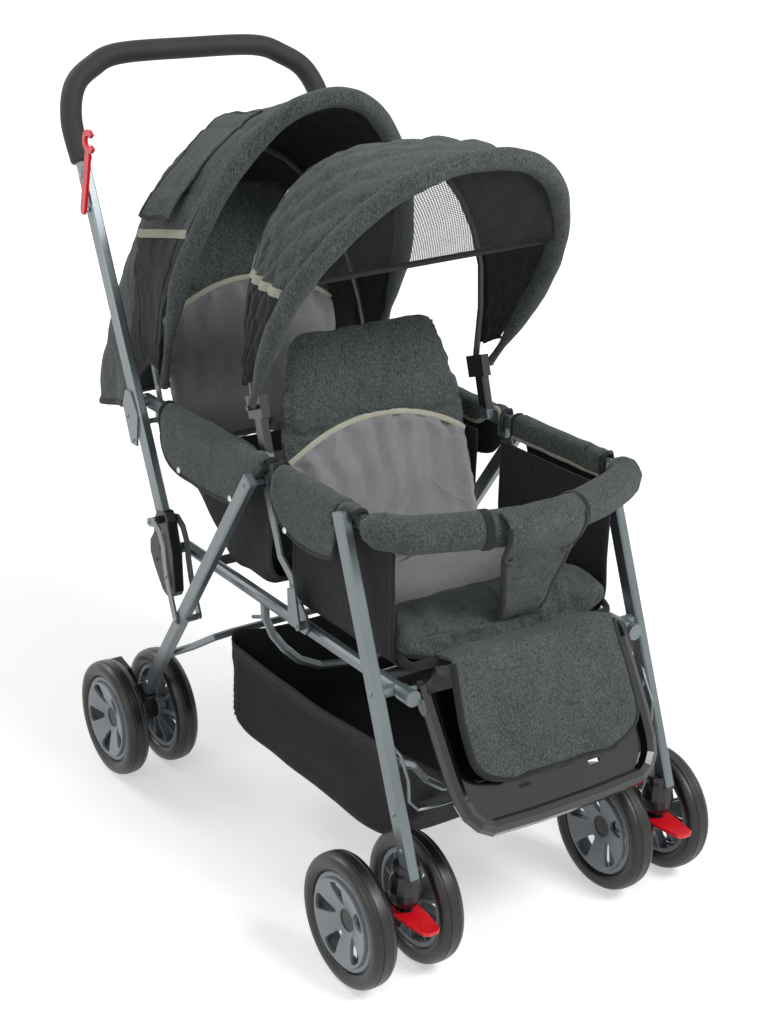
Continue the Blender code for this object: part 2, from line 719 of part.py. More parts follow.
def make_rear_canopy():
    rim_angle, mid_angle = -20.6, 20.0
    count = 17
    rim_line = arch(REAR_CANOPY_PIVOT, polar(REAR_CANOPY_PIVOT, rim_angle, 0.4636),
                    0.2005, 0.1762, 2.14, count, 0.0155)
    pads = [0.42 if p[2] < 0.705 else 1.0 for p in rim_line]
    rim = tube("rear_canopy_rim", rim_line, PAD_RADIUS, pads)
    join(rim, canopy_tabs(rim_angle, 0.1757, 0.1785))
    mid_line = arch(REAR_CANOPY_PIVOT, polar(REAR_CANOPY_PIVOT, mid_angle, 0.352),
                    0.1850, 0.1788, 2.45, count, 0.0125)
    mid = tube("rear_canopy_mid_bow", mid_line, 0.0048, resolution=1)
    join(mid, canopy_tabs(mid_angle, 0.1788, 0.1813))
    stations = [(-5.0, 0.420, 0.2040, 2.24), (4.0, 0.401, 0.1995, 2.3),
                (mid_angle, 0.3605, 0.1935, 2.55),
                (40.0, 0.3205, 0.1895, 2.6), (55.0, 0.296, 0.1885, 2.8),
                (72.0, 0.285, 0.1880, 3.0), (90.0, 0.290, 0.1880, 3.2), (103.0, 0.300, 0.1870, 3.4)]
    offset = polar((0, 0), rim_angle + 90, PAD_RADIUS + 0.0007)
    base = (REAR_CANOPY_PIVOT[0] + offset[0], REAR_CANOPY_PIVOT[1] + offset[1])
    apex = polar(base, rim_angle, 0.4636)
    rows = [arch(base, apex, 0.2100, 0.1860, 2.14, 14, 0.045)]
    for angle, radius, half, exponent in stations:
        rows.append(arch(REAR_CANOPY_PIVOT, polar(REAR_CANOPY_PIVOT, angle, radius),
                         half, 0.1860, exponent, 14, 0.045))
    cloth = sheet("rear_canopy_cloth", rows, CANOPY_CLOTH)
    return rim, mid, cloth


# Front leg frame: two side tubes, a cross bow and a wire
def make_front_frame():
    top = (front_leg_y(FRONT_LEG_TOP), FRONT_LEG_TOP)
    foot = (front_leg_y(FRONT_LEG_FOOT), FRONT_LEG_FOOT)
    frame = None
    extra = []
    for _, side in SIDES:
        leg = bar("leg", foot, top, side * LEG_X, LEG_OUT - LEG_IN, LEG_DEPTH)
        if frame is None:
            frame = leg
        else:
            extra.append(leg)
        for z in (0.376, 0.238, 0.195):
            extra.append(rivet(side, front_leg_y(z), z, LEG_OUT))
        extra.append(pin("arm_boss", *ARM_FRONT_PIVOT, side * LEG_X, side * (ARM_OUT + GAP), 0.007))
    bow = [(0.206, front_leg_y(0.300), 0.300), (0.176, -0.018, 0.287), (0.156, -0.016, 0.262),
           (0.132, -0.018, 0.245), (0.100, -0.020, 0.239), (0.050, -0.020, 0.238),
           (0, -0.020, 0.238)]
    extra.append(tube("cross_bow", both_sides(bow), 0.005, resolution=1))
    wire = [(0.202, front_leg_y(0.322), 0.322), (0.1945, -0.018, 0.305), (0.1945, -0.034, 0.280),
            (0.194, -0.036, 0.252), (0.184, -0.041, 0.240), (0.150, -0.044, 0.239),
            (0, -0.044, 0.239)]
    extra.append(tube("wire", both_sides(wire), 0.002, resolution=1))
    frame.name = "front_frame"
    join(frame, extra)
    return frame


# Casters
def make_socket(name, side):
    top = 0.176
    profile = [(0, top), (0.0165, top), (0.0178, 0.170), (0.0168, 0.163), (0.0198, 0.154),
               (0.0218, 0.142), (0.0205, 0.130), (0.0160, 0.1215), (0.0115, SOCKET_BASE),
               (0, SOCKET_BASE)]
    socket = lathe(name, profile, 14, along_x=False)
    socket.location = (side * SWIVEL_X, SWIVEL_Y, 0)
    low, high = FRONT_LEG_FOOT - 0.0004, 0.230
    cut(socket, [bar("pocket", (front_leg_y(low), low), (front_leg_y(high), high),
                     side * LEG_X, LEG_OUT - LEG_IN + 2 * GAP, LEG_DEPTH + 2 * GAP)])
    return socket


def make_fork(name, side):
    """Stem under the socket, arm and cross hub between the twin wheels, and the axle."""
    hub_half = (FRONT_TWIN[1] - FRONT_TWIN[0]) / 2 - TYRE_WIDTH / 2 - 0.0002
    stem = pin(name, 0, 0, 0, 0.022, 0.0075)
    stem.rotation_euler = (0, 0, 0)
    stem.location = (side * SWIVEL_X, SWIVEL_Y, SOCKET_BASE - GAP - 0.011)
    arm = [(-0.056, 0.103), (-0.034, 0.1035), (0.004, 0.104), (0.015, 0.098), (0.018, 0.086),
           (0.010, 0.073), (-0.004, 0.071), (-0.030, 0.084), (-0.0545, 0.092)]
    middle = side * SWIVEL_X
    web = plate("web", [arm], side, SWIVEL_X - 0.011, SWIVEL_X + 0.011)
    hub = pin("hub", 0, WHEEL_RADIUS, middle - hub_half, middle + hub_half, 0.0135)
    reach = (FRONT_TWIN[1] - FRONT_TWIN[0]) / 2 - BORE_END - 0.0006
    axle = pin("axle", 0, WHEEL_RADIUS, middle - reach, middle + reach, AXLE_RADIUS, 10)
    lever_pin = pin("lever_pin", *LOCK_LEVER_PIVOT, middle - 0.016, middle + 0.016, LOCK_PIN)
    lug = box("lug", (0.012, 0.006, 0.012), (middle, LOCK_LEVER_PIVOT[0], LOCK_LEVER_Z - 0.0035))
    join(stem, [web, hub, axle, lug, lever_pin])
    return stem


def make_swivel_lock(name, side):
    """Lever with an open slot round the fork's stem."""
    outline = [(-0.030, 0.017), (-0.056, 0.019), (-0.080, 0.0165), (-0.103, 0.0125),
               (-0.108, 0.007), (-0.108, -0.007), (-0.103, -0.0125), (-0.080, -0.0165),
               (-0.056, -0.019), (-0.030, -0.017), (-0.030, -0.0095), (-0.047, -0.0095),
               (-0.0565, -0.0045), (-0.0565, 0.0045), (-0.047, 0.0095), (-0.030, 0.0095)]
    curve = bpy.data.curves.new(name, "CURVE")
    curve.dimensions = "2D"
    curve.fill_mode = "BOTH"
    curve.extrude = 0.0024
    spline = curve.splines.new("POLY")
    spline.points.add(len(outline) - 1)
    for i, (y, x) in enumerate(outline):
        spline.points[i].co = (x, y, 0, 1)
    spline.use_cyclic_u = True
    lever = add(name, curve)
    lever.location = (side * SWIVEL_X, 0, LOCK_LEVER_Z)
    lever = to_mesh(lever)
    bevel(lever, 0.0010, 1)
    cut(lever, [pin("bore", *LOCK_LEVER_PIVOT, side * (SWIVEL_X - 0.030), side * (SWIVEL_X + 0.030),
                    LOCK_PIN + GAP)])
    return lever


# Wheels
def make_tyre(name, x, y):
    """Tread with a flat band; a facet is centred at the bottom, at floor level."""
    tread = WHEEL_RADIUS / cos(pi / TYRE_STEPS)
    bead = (RIM_RADIUS + GAP) / cos(pi / TYRE_STEPS)
    half = TYRE_WIDTH / 2
    profile = [(bead, half * 0.62), (bead + 0.005, half), (tread - 0.0075, half),
               (tread, half * 0.42), (tread, -half * 0.42), (tread - 0.0075, -half),
               (bead + 0.005, -half), (bead, -half * 0.62)]
    tyre = lathe(name, profile, TYRE_STEPS, closed=True)
    tyre.location = (x, y, WHEEL_RADIUS)
    tyre.rotation_mode = "ZYX"
    tyre.rotation_euler = (radians(180 / TYRE_STEPS), pi / 2, 0)
    return tyre


def make_wheel_centre(name, x, y, outward):
    """Dished disc with five windows, a closed hub cap outside and a bore inside."""
    hub_in = -TYRE_WIDTH / 2 + 0.0002
    profile = [(0, 0.0015), (0.0172, -0.0006), (RIM_RADIUS - 0.0073, 0.0115),
               (RIM_RADIUS, 0.0105), (RIM_RADIUS, -0.0098), (RIM_RADIUS - 0.0068, -0.0098),
               (RIM_RADIUS - 0.0090, 0.0068), (0.0190, -0.0055),
               (0.0165, hub_in), (0.0046, hub_in), (0.0046, -BORE_END), (0, -BORE_END)]
    if outward < 0:
        profile = [(r, -h) for r, h in profile[::-1]]
    centre = lathe(name, profile, HUB_STEPS)
    centre.location = (x, y, WHEEL_RADIUS)
    windows = []
    for i in range(SPOKES):
        turn = 2 * pi * i / SPOKES
        reach = RIM_RADIUS - 0.0108
        loop = [(0.0262, 0.0045), (reach, 0.0130), (reach, -0.0130), (0.0262, -0.0045)]
        curve_loop = [(r * cos(turn) - w * sin(turn) + y, r * sin(turn) + w * cos(turn) + WHEEL_RADIUS)
                      for r, w in loop]
        side = 1 if x > 0 else -1
        windows.append(plate("window", [curve_loop], side, abs(x) - 0.014, abs(x) + 0.014))
    cut(centre, windows)
    return centre


# Armrests: flat rails, canopy posts and clamps, rear bow of the front canopy
def make_armrest_frame():
    extra = []
    pivot_y, pivot_z = FRONT_CANOPY_PIVOT
    bow_line = arch((pivot_y + 0.014, pivot_z - 0.004), (pivot_y + 0.018, 0.958), 0.1990, 0.1775,
                    2.35, 16, 0.004)
    frame = tube("armrest_frame", bow_line, 0.0048, resolution=1)
    rail_front = 0.0745
    for _, side in SIDES:
        size = (ARM_OUT - ARM_IN, ARM_REAR_PIVOT[0] + 0.009 - rail_front, 0.018)
        middle = (side * (ARM_IN + ARM_OUT) / 2, rail_front + size[1] / 2, ARM_FRONT_PIVOT[1])
        rail = box("arm", size, middle)
        extra.append(rail)
        spigot = pin("spigot", 0, 0, 0, 0.040, 0.0035)
        spigot.rotation_euler = (pi / 2, 0, 0)
        spigot.location = (middle[0], rail_front - 0.018, middle[2])
        extra.append(spigot)
        extra.append(pin("leg_boss", *REAR_LEG_PIVOT, side * ARM_IN, side * (REAR_IN - GAP), 0.0038))
        extra.append(box("leg_lug", (ARM_OUT - ARM_IN, 0.018, 0.024),
                         (middle[0], REAR_LEG_PIVOT[0], REAR_LEG_PIVOT[1] + 0.004)))
        post = bar("post", (0.3165, 0.5715), (pivot_y, pivot_z - 0.006), side * 0.1775, 0.012, 0.020)
        clamp = box("clamp", (0.0125, 0.036, 0.030), (side * 0.1775, pivot_y + 0.006, pivot_z - 0.002),
                    -0.3)
        extra += [post, clamp]
        extra.append(box("post_foot", (0.012, 0.020, 0.012), (side * 0.1830, 0.3175, 0.5775)))
        extra.append(pin("canopy_pin", pivot_y, pivot_z, side * 0.178, side * 0.1975, 0.0035))
    join(frame, extra)
    return frame


def make_armrest_pad(name, side):
    """Two quilted flaps over the armrest, joined by a strip along its top."""
    hems = ((0.1160, 0.540), (0.128, 0.518), (0.167, 0.508), (0.215, 0.508), (0.244, 0.522),
            (0.258, 0.550), (0.300, 0.572), (0.318, 0.545), (0.345, 0.514), (0.400, 0.503),
            (0.470, 0.501), (0.540, 0.509), (0.566, 0.540))
    rows = []
    for y, hem in hems:
        shoulder = [(0.1850, 0.5869), (0.1905, 0.5871), (0.1967, 0.5863), (0.2027, 0.5796)]
        drop = [(0.2060, 0.580 + (hem - 0.580) * k) for k in (0.25, 0.6, 1.0)]
        rows.append([(side * x, y, z) for x, z in shoulder + drop])
    strip = {(5, column) for column in range(1, 6)}
    return sheet(name, rows, CLOTH, skip=strip)


def make_bumper():
    middle = (ARM_IN + ARM_OUT) / 2
    line = [(middle, 0.073, ARM_FRONT_PIVOT[1]), (middle, 0.055, ARM_FRONT_PIVOT[1]),
            (middle - 0.001, 0.050, ARM_FRONT_PIVOT[1]), (0.180, 0.034, 0.574), (0.160, 0.018, BUMPER_Z),
            (0.130, 0.005, BUMPER_Z), (0.090, -0.010, BUMPER_Z), (0.045, -0.022, BUMPER_Z),
            (0, -0.030, BUMPER_Z)]
    line = both_sides(line)
    count = len(line)
    slim = 0.30
    shoulder = 0.80
    factors = [1.0] * count
    for i, value in ((0, slim), (1, slim), (2, shoulder)):
        factors[i] = value
        factors[count - 1 - i] = value
    pad = tube("bumper_bar", line, BUMPER_RADIUS, factors)
    sockets = []
    for _, side in SIDES:
        bore = pin("bore", 0, 0, 0, 0.044, 0.0035 + GAP)
        bore.rotation_euler = (pi / 2, 0, 0)
        bore.location = (side * middle, 0.073 - 0.018, ARM_FRONT_PIVOT[1])
        sockets.append(bore)
    cut(pad, sockets)
    return pad


def make_crotch_panel():
    rows = []
    for z, y, half in ((0.5493, -0.0265, 0.046), (0.520, -0.020, 0.044), (0.490, -0.010, 0.038),
                       (0.465, 0.000, 0.031), (0.445, 0.010, 0.026), (0.425, 0.0222, 0.024)):
        rows.append([(half * k / 2, y, z) for k in range(-2, 3)])
    return sheet("crotch_panel", rows, 0.004)


def make_front_canopy():
    rim_angle, rise = -34.0, 0.405
    line = arch(FRONT_CANOPY_PIVOT, polar(FRONT_CANOPY_PIVOT, rim_angle, rise), 0.2195, 0.1905,
                2.37, 18, 0.003)
    pads = [0.42 if p[2] < FRONT_CANOPY_PIVOT[1] + 0.055 else 1.0 for p in line]
    rim = tube("front_canopy_rim", line, PAD_RADIUS, pads)
    join(rim, [pin("eye", *FRONT_CANOPY_PIVOT, s * 0.1850, s * 0.1965, 0.0078) for _, s in SIDES])
    cut(rim, [pin("hole", *FRONT_CANOPY_PIVOT, s * 0.1700, s * 0.2050, 0.0041) for _, s in SIDES])
    shift = polar((0, 0), rim_angle + 90, PAD_RADIUS + 0.0007)
    base = (FRONT_CANOPY_PIVOT[0] + shift[0], FRONT_CANOPY_PIVOT[1] + shift[1])
    apex = polar(base, rim_angle, rise)
    back_base = (FRONT_CANOPY_PIVOT[0] + 0.014, FRONT_CANOPY_PIVOT[1] - 0.004)
    back_apex = (FRONT_CANOPY_PIVOT[0] + 0.014, 0.9648)
    rows = []
    for i in range(5):
        t = i / 4
        swell = 0.010 * sin(pi * t)
        low = [base[k] + (back_base[k] - base[k]) * t for k in (0, 1)]
        high = [apex[k] + (back_apex[k] - apex[k]) * t for k in (0, 1)]
        half = 0.2290 + (0.2058 - 0.2290) * t
        rows.append(arch(low, (high[0], high[1] + swell), half, 0.1960 - 0.006 * t, 2.37, 14, 0.055))
    cloth = sheet("front_canopy_cloth", rows, CANOPY_CLOTH)
    screen = arch(FRONT_CANOPY_PIVOT, polar(FRONT_CANOPY_PIVOT, rim_angle, rise - 0.0152),
                  0.2050, 0.1745, 2.37, 16)
    hem = polar(FRONT_CANOPY_PIVOT, rim_angle, 0.238)
    top = [p for p in screen if p[2] > hem[1] + 0.004]
    rows = []
    for k in range(5):
        t = k / 4
        sag = 0.012 * sin(pi * t)
        rows.append([(x, y + (hem[0] - y) * t - sag, z + (hem[1] - z) * t) for x, y, z in top])
    visor = sheet("front_canopy_visor", rows, 0.0016)
    return rim, cloth, visor


# Fold links
def make_mid_link(name, side):
    spine = [MID_LINK_PIVOT, (0.2285, 0.437), (0.231, 0.449), (0.258, 0.468), (0.266, 0.490),
             (0.288, 0.541), REAR_LEG_PIVOT]
    slot = [strap([(REAR_LEG_PIVOT[0] - 0.001, REAR_LEG_PIVOT[1] - 0.0025),
                   (REAR_LEG_PIVOT[0] + 0.001, REAR_LEG_PIVOT[1] + 0.0025)], 0.0055)]
    link = plate(name, [strap(spine, 0.0062)], side, LINK_IN, LINK_OUT)
    join(link, [plate("eye", [circle((REAR_LEG_PIVOT[0], REAR_LEG_PIVOT[1]), 0.0105, 10)], side,
                      LINK_IN, LINK_OUT)])
    cut(link, [plate("slot", slot, side, LINK_IN - 0.001, LINK_OUT + 0.001)])
    join(link, [rivet(side, *MID_LINK_PIVOT, LINK_OUT), rivet(side, 0.2285, 0.437, LINK_OUT)])
    return link


def make_rear_link(name, side):
    """Two curved straps, outside and inside the bar foot, on one pin through the leg."""
    spine = [REAR_LINK_EAR, (0.545, 0.4245), (0.530, 0.416), (0.519, 0.396), (0.516, 0.372),
             (0.509, 0.344), REAR_LINK_LOW]
    outer = plate(name, [strap(spine, 0.0062)], side, STRAP_IN, STRAP_OUT)
    inner = plate("inner", [strap(spine, 0.0062)], side, *INNER_STRAP)
    through = pin("through", *REAR_LINK_LOW, side * (INNER_STRAP[0] + 0.001),
                  side * (STRAP_OUT - 0.001), 0.0035)
    heads = [rivet(side, *spot, STRAP_OUT) for spot in (REAR_LINK_EAR, (0.512, 0.355), REAR_LINK_LOW)]
    join(outer, [through, inner] + heads)
    return outer


# Rear leg frame: two side tubes and the bow that carries the basket
def make_rear_frame():
    frame = None
    extra = []
    holes = []
    for _, side in SIDES:
        leg = bar("leg", rear_leg_at(-0.012), rear_leg_at(REAR_LEG_LENGTH), side * REAR_X,
                  REAR_OUT - REAR_IN, REAR_DEPTH)
        if frame is None:
            frame = leg
        else:
            extra.append(leg)
        extra.append(rivet(side, *REAR_LEG_PIVOT, REAR_OUT))
        extra.append(rivet(side, *rear_leg_at(REAR_LEG_LENGTH - 0.024), REAR_OUT))
        stub = rear_leg_at(0.312)
        extra.append(pin("stub", stub[0] - 0.009, stub[1] - 0.006, side * REAR_X,
                         side * (LEG_IN + 0.006), 0.003, 8))
        holes.append(pin("hole", *REAR_LINK_LOW, side * (REAR_IN - 0.003),
                         side * (REAR_OUT + 0.003), 0.0035 + 2 * GAP))
    end_y, end_z = rear_leg_at(BASKET_BOW_PLACE)
    bow = [(0.2200, end_y, end_z), (0.2080, end_y - 0.002, end_z - 0.001), (0.1860, 0.5240, 0.2300),
           (0.1600, 0.5060, 0.2450), (0.1300, 0.5020, 0.2490), (0.0600, 0.5010, 0.2500),
           (0, 0.5010, 0.2500)]
    extra.append(tube("basket_bow", both_sides(bow), 0.0055, resolution=1))
    frame.name = "rear_frame"
    join(frame, extra)
    cut(frame, holes)
    return frame


def make_axle_housing(name, side):
    """Ribbed moulding between the twin wheels, with the axle through it."""
    middle = side * sum(REAR_TWIN) / 2
    hub_half = (REAR_TWIN[1] - REAR_TWIN[0]) / 2 - TYRE_WIDTH / 2 - 0.0002
    housing = pin(name, REAR_HUB_Y, WHEEL_RADIUS, middle - hub_half, middle + hub_half, 0.0175, 10)
    start, end = rear_leg_at(REAR_LEG_LENGTH + 0.0004), rear_leg_at(REAR_LEG_LENGTH + 0.054)
    neck = bar("neck", start, end, side * REAR_X, 0.022, 0.030)
    extra = [neck]
    extra.append(pin("rib", REAR_HUB_Y, WHEEL_RADIUS, middle - 0.0165, middle - 0.0135, 0.0215, 10))
    reach = (REAR_TWIN[1] - REAR_TWIN[0]) / 2 - BORE_END - 0.0006
    extra.append(pin("axle", REAR_HUB_Y, WHEEL_RADIUS, middle - reach, middle + reach,
                     AXLE_RADIUS, 10))
    lug = plate("lug", [strap([(REAR_HUB_Y, WHEEL_RADIUS), BRAKE_PIVOT], 0.007)], side,
                abs(middle) - 0.0035, abs(middle) + 0.0035)
    extra += [lug, pin("brake_pin", *BRAKE_PIVOT, middle - 0.009, middle + 0.009, 0.0035)]
    join(housing, extra)
    return housing


def make_brake_lever(name, side):
    """Forked pedal over the housing's lug."""
    middle = sum(REAR_TWIN) / 2
    pivot_y, pivot_z = BRAKE_PIVOT
    spine = [BRAKE_PIVOT, (pivot_y + 0.020, pivot_z + 0.014), (pivot_y + 0.050, pivot_z + 0.020)]
    pedal = plate(name, [strap(spine, 0.0075)], side, middle - 0.0105, middle + 0.0105)
    bevel(pedal, 0.001, 1)
    slot = box("slot", (0.0078, 0.030, 0.040), (side * middle, BRAKE_PIVOT[0] - 0.001, BRAKE_PIVOT[1]))
    bore = pin("bore", *BRAKE_PIVOT, side * (middle - 0.020), side * (middle + 0.020), 0.0038)
    cut(pedal, [slot, bore])
    return pedal


# Assembly
seat_base = body("seat_base")
carry(seat_base, "frame_grey", make_seat_frame())
front_shell = make_shell("front_tub", ((0.046, 0.3885, 0.545), (0.075, FLOOR_Z, WALL_TOP),
                                       (0.130, FLOOR_Z, WALL_TOP), (0.200, FLOOR_Z, WALL_TOP),
                                       (0.2685, FLOOR_Z, WALL_TOP)), 0.147)
rear_shell = make_shell("rear_tub", ((0.332, 0.400, WALL_TOP), (0.352, FLOOR_Z, WALL_TOP),
                                     (0.400, FLOOR_Z, WALL_TOP), (0.448, FLOOR_Z, WALL_TOP),
                                     (0.505, 0.431, WALL_TOP), (0.560, 0.470, WALL_TOP),
                                     (0.6077, 0.4995, WALL_TOP)), 0.428)
carry(seat_base, "black_cloth", front_shell, rear_shell)
carry(seat_base, "green_cloth", make_front_cushion(), make_rear_cushion(), make_apron())
carry(seat_base, "black_mesh", make_basket())

footrest_body = body("footrest_joint", 0, FOOTREST_PIVOT)
carry(footrest_body, "gloss_black", make_footrest())

front_back = make_backrest("front_backrest", FRONT_BACK_PIVOT, FRONT_RECLINE, 0.022,
                           ((-0.0035, 0.140, 0.45), (0.005, 0.150, 0.90), (0.120, 0.153, 1.0),
                            (0.235, 0.146, 0.95), (0.320, 0.126, 0.8), (0.340, 0.106, 0.5)))
rear_back = make_backrest("rear_backrest", REAR_BACK_PIVOT, REAR_RECLINE, 0.024,
                          ((-0.004, 0.138, 0.55), (0.004, 0.150, 0.95), (0.115, 0.153, 1.0),
                           (0.265, 0.142, 0.95), (0.355, 0.114, 0.75), (0.373, 0.090, 0.5)))
carry(body("front_backrest_joint", 0, FRONT_BACK_PIVOT), "green_cloth", front_back)
carry(body("rear_backrest_joint", 0, REAR_BACK_PIVOT), "green_cloth", rear_back)

bar_body = body("push_bar_joint", 0, BAR_PIVOT)
push_bar, handle_grip = make_push_bar()
carry(bar_body, "frame_grey", push_bar)
carry(bar_body, "grip_foam", handle_grip)
carry(body("fold_hook_joint", 0, HOOK_PIVOT), "red_plastic", make_hook())

canopy_body = body("rear_canopy_joint", 0, REAR_CANOPY_PIVOT)
rear_rim, rear_mid, rear_cloth = make_rear_canopy()
carry(canopy_body, "green_cloth", rear_rim, rear_cloth)
carry(canopy_body, "frame_grey", rear_mid)

front_body = body("front_legs_joint", 0, FRONT_PIVOT)
carry(front_body, "frame_grey", make_front_frame())

arm_body = body("armrests_joint", 0, ARM_FRONT_PIVOT)
carry(arm_body, "frame_grey", make_armrest_frame())
carry(arm_body, "green_cloth", make_bumper(), make_crotch_panel())
front_rim, front_cloth, visor = make_front_canopy()
front_canopy_body = body("front_canopy_joint", 0, FRONT_CANOPY_PIVOT)
carry(front_canopy_body, "green_cloth", front_rim, front_cloth)
carry(front_canopy_body, "black_mesh", visor)

rear_body = body("rear_legs_joint", 0, REAR_LEG_PIVOT)
carry(rear_body, "frame_grey", make_rear_frame())

for label, side in SIDES:
    carry(bar_body, "black_plastic", make_bar_foot("bar_foot_" + label, side))
    carry(body("lock_joint_" + label, 0, LOCK_PIVOT), "brown_plastic",
          make_lock_plate("lock_plate_" + label, side))
    carry(front_body, "black_plastic", make_socket("caster_socket_" + label, side))
    caster = body("caster_joint_" + label, side * SWIVEL_X, (SWIVEL_Y, 0))
    carry(caster, "black_plastic", make_fork("caster_fork_" + label, side))
    carry(body("swivel_lock_joint_" + label, side * SWIVEL_X, LOCK_LEVER_PIVOT), "red_plastic",
          make_swivel_lock("swivel_lock_" + label, side))
    carry(arm_body, "green_cloth", make_armrest_pad("armrest_pad_" + label, side))
    carry(body("mid_link_joint_" + label, 0, MID_LINK_PIVOT), "frame_grey",
          make_mid_link("mid_link_" + label, side))
    carry(body("rear_link_joint_" + label, 0, REAR_LINK_LOW), "frame_grey",
          make_rear_link("rear_link_" + label, side))
    carry(rear_body, "black_plastic", make_axle_housing("axle_housing_" + label, side))
    carry(body("brake_joint_" + label, 0, BRAKE_PIVOT), "black_plastic",
          make_brake_lever("brake_lever_" + label, side))
    for end, hub_y, twin in (("front", 0.0, FRONT_TWIN), ("rear", REAR_HUB_Y, REAR_TWIN)):
        for place, distance, outward in (("inner", twin[0], -1), ("outer", twin[1], 1)):
            tag = "_".join((end, place, label))
            spin = body("spin_" + tag, side * distance, (hub_y, WHEEL_RADIUS))
            carry(spin, "tyre_rubber", make_tyre("tyre_" + tag, side * distance, hub_y))
            carry(spin, "wheel_grey", make_wheel_centre("wheel_" + tag, side * distance, hub_y,
                                                        side * outward))
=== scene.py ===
from math import atan2, copysign, cos, exp, hypot, pi, radians, sin

import bmesh
import bpy
from mathutils import Matrix, Vector, noise
from mathutils.bvhtree import BVHTree


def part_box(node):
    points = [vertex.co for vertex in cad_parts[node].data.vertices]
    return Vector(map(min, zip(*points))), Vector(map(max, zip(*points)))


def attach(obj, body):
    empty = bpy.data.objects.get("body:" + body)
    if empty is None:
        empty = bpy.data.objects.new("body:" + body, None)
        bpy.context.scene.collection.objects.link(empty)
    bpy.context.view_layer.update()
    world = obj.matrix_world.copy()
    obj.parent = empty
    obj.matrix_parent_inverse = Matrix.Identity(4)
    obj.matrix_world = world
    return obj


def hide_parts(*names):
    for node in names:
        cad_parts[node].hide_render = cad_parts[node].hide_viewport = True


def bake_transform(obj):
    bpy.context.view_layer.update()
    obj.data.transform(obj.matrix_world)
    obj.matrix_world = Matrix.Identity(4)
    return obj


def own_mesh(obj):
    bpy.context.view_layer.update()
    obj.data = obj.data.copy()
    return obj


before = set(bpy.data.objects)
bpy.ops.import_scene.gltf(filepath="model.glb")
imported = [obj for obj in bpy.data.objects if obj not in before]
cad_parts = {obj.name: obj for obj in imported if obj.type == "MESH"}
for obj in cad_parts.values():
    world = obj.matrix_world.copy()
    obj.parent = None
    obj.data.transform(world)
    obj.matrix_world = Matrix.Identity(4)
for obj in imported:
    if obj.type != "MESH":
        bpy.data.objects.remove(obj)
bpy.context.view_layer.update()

# Points are in metres from the front hubs, floor at z = 0; the children face -y, side R is -x
tyre_low, tyre_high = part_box("tyre_front_outer_R")
HUB_Y = (tyre_low.y + tyre_high.y) / 2
SIDES = (("R", -1), ("L", 1))
scene = bpy.context.scene

WHEEL_RADIUS, RIM_RADIUS, TYRE_HALF = 0.0875, 0.0648, 0.01675
REAR_HUB_Y = 0.636
FRONT_TWIN, REAR_TWIN = (0.155, 0.2544), (0.180, 0.261)
FRONT_CANOPY_PIVOT, REAR_CANOPY_PIVOT = (0.337, 0.645), (0.612, 0.575)
RIM_PAD, BUMPER_RADIUS = 0.0135, 0.0235
# Heights of the bumper, armrests and tub walls, and pivots as (y, z)
BUMPER_Z, ARM_Z, WALL_TOP = 0.572, 0.575, 0.555
FRONT_BACK_PIVOT, REAR_BACK_PIVOT = (0.268, 0.402), (0.6103, 0.4985)
FOOTREST_PIVOT = (-0.002, 0.382)


# Shader groups that several finishes share
def shader_group(name, inputs, outputs):
    tree = bpy.data.node_groups.new(name, "ShaderNodeTree")
    for label, kind, value in inputs:
        socket = tree.interface.new_socket(label, in_out="INPUT", socket_type="NodeSocket" + kind)
        socket.default_value = value
    for label, kind in outputs:
        tree.interface.new_socket(label, in_out="OUTPUT", socket_type="NodeSocket" + kind)
    return tree, tree.nodes.new("NodeGroupInput").outputs, tree.nodes.new("NodeGroupOutput").inputs


def node(tree, kind, inputs=None, **settings):
    made = tree.nodes.new("ShaderNode" + kind)
    for key, value in settings.items():
        setattr(made, key, value)
    for socket, value in (inputs or {}).items():
        if isinstance(value, bpy.types.NodeSocket):
            tree.links.new(value, made.inputs[socket])
        else:
            made.inputs[socket].default_value = value
    return made


def calc(tree, operation, *values):
    made = node(tree, "Math", dict(enumerate(values)), operation=operation)
    return made.outputs[0]


def stretched(tree, scale):
    place = node(tree, "TexCoord").outputs["Object"]
    return node(tree, "Mapping", {"Vector": place, "Scale": scale}).outputs[0]


def blend_colours(tree, share, dark, light):
    made = node(tree, "Mix", {0: share, 6: dark, 7: light}, data_type="RGBA")
    return made.outputs[2]


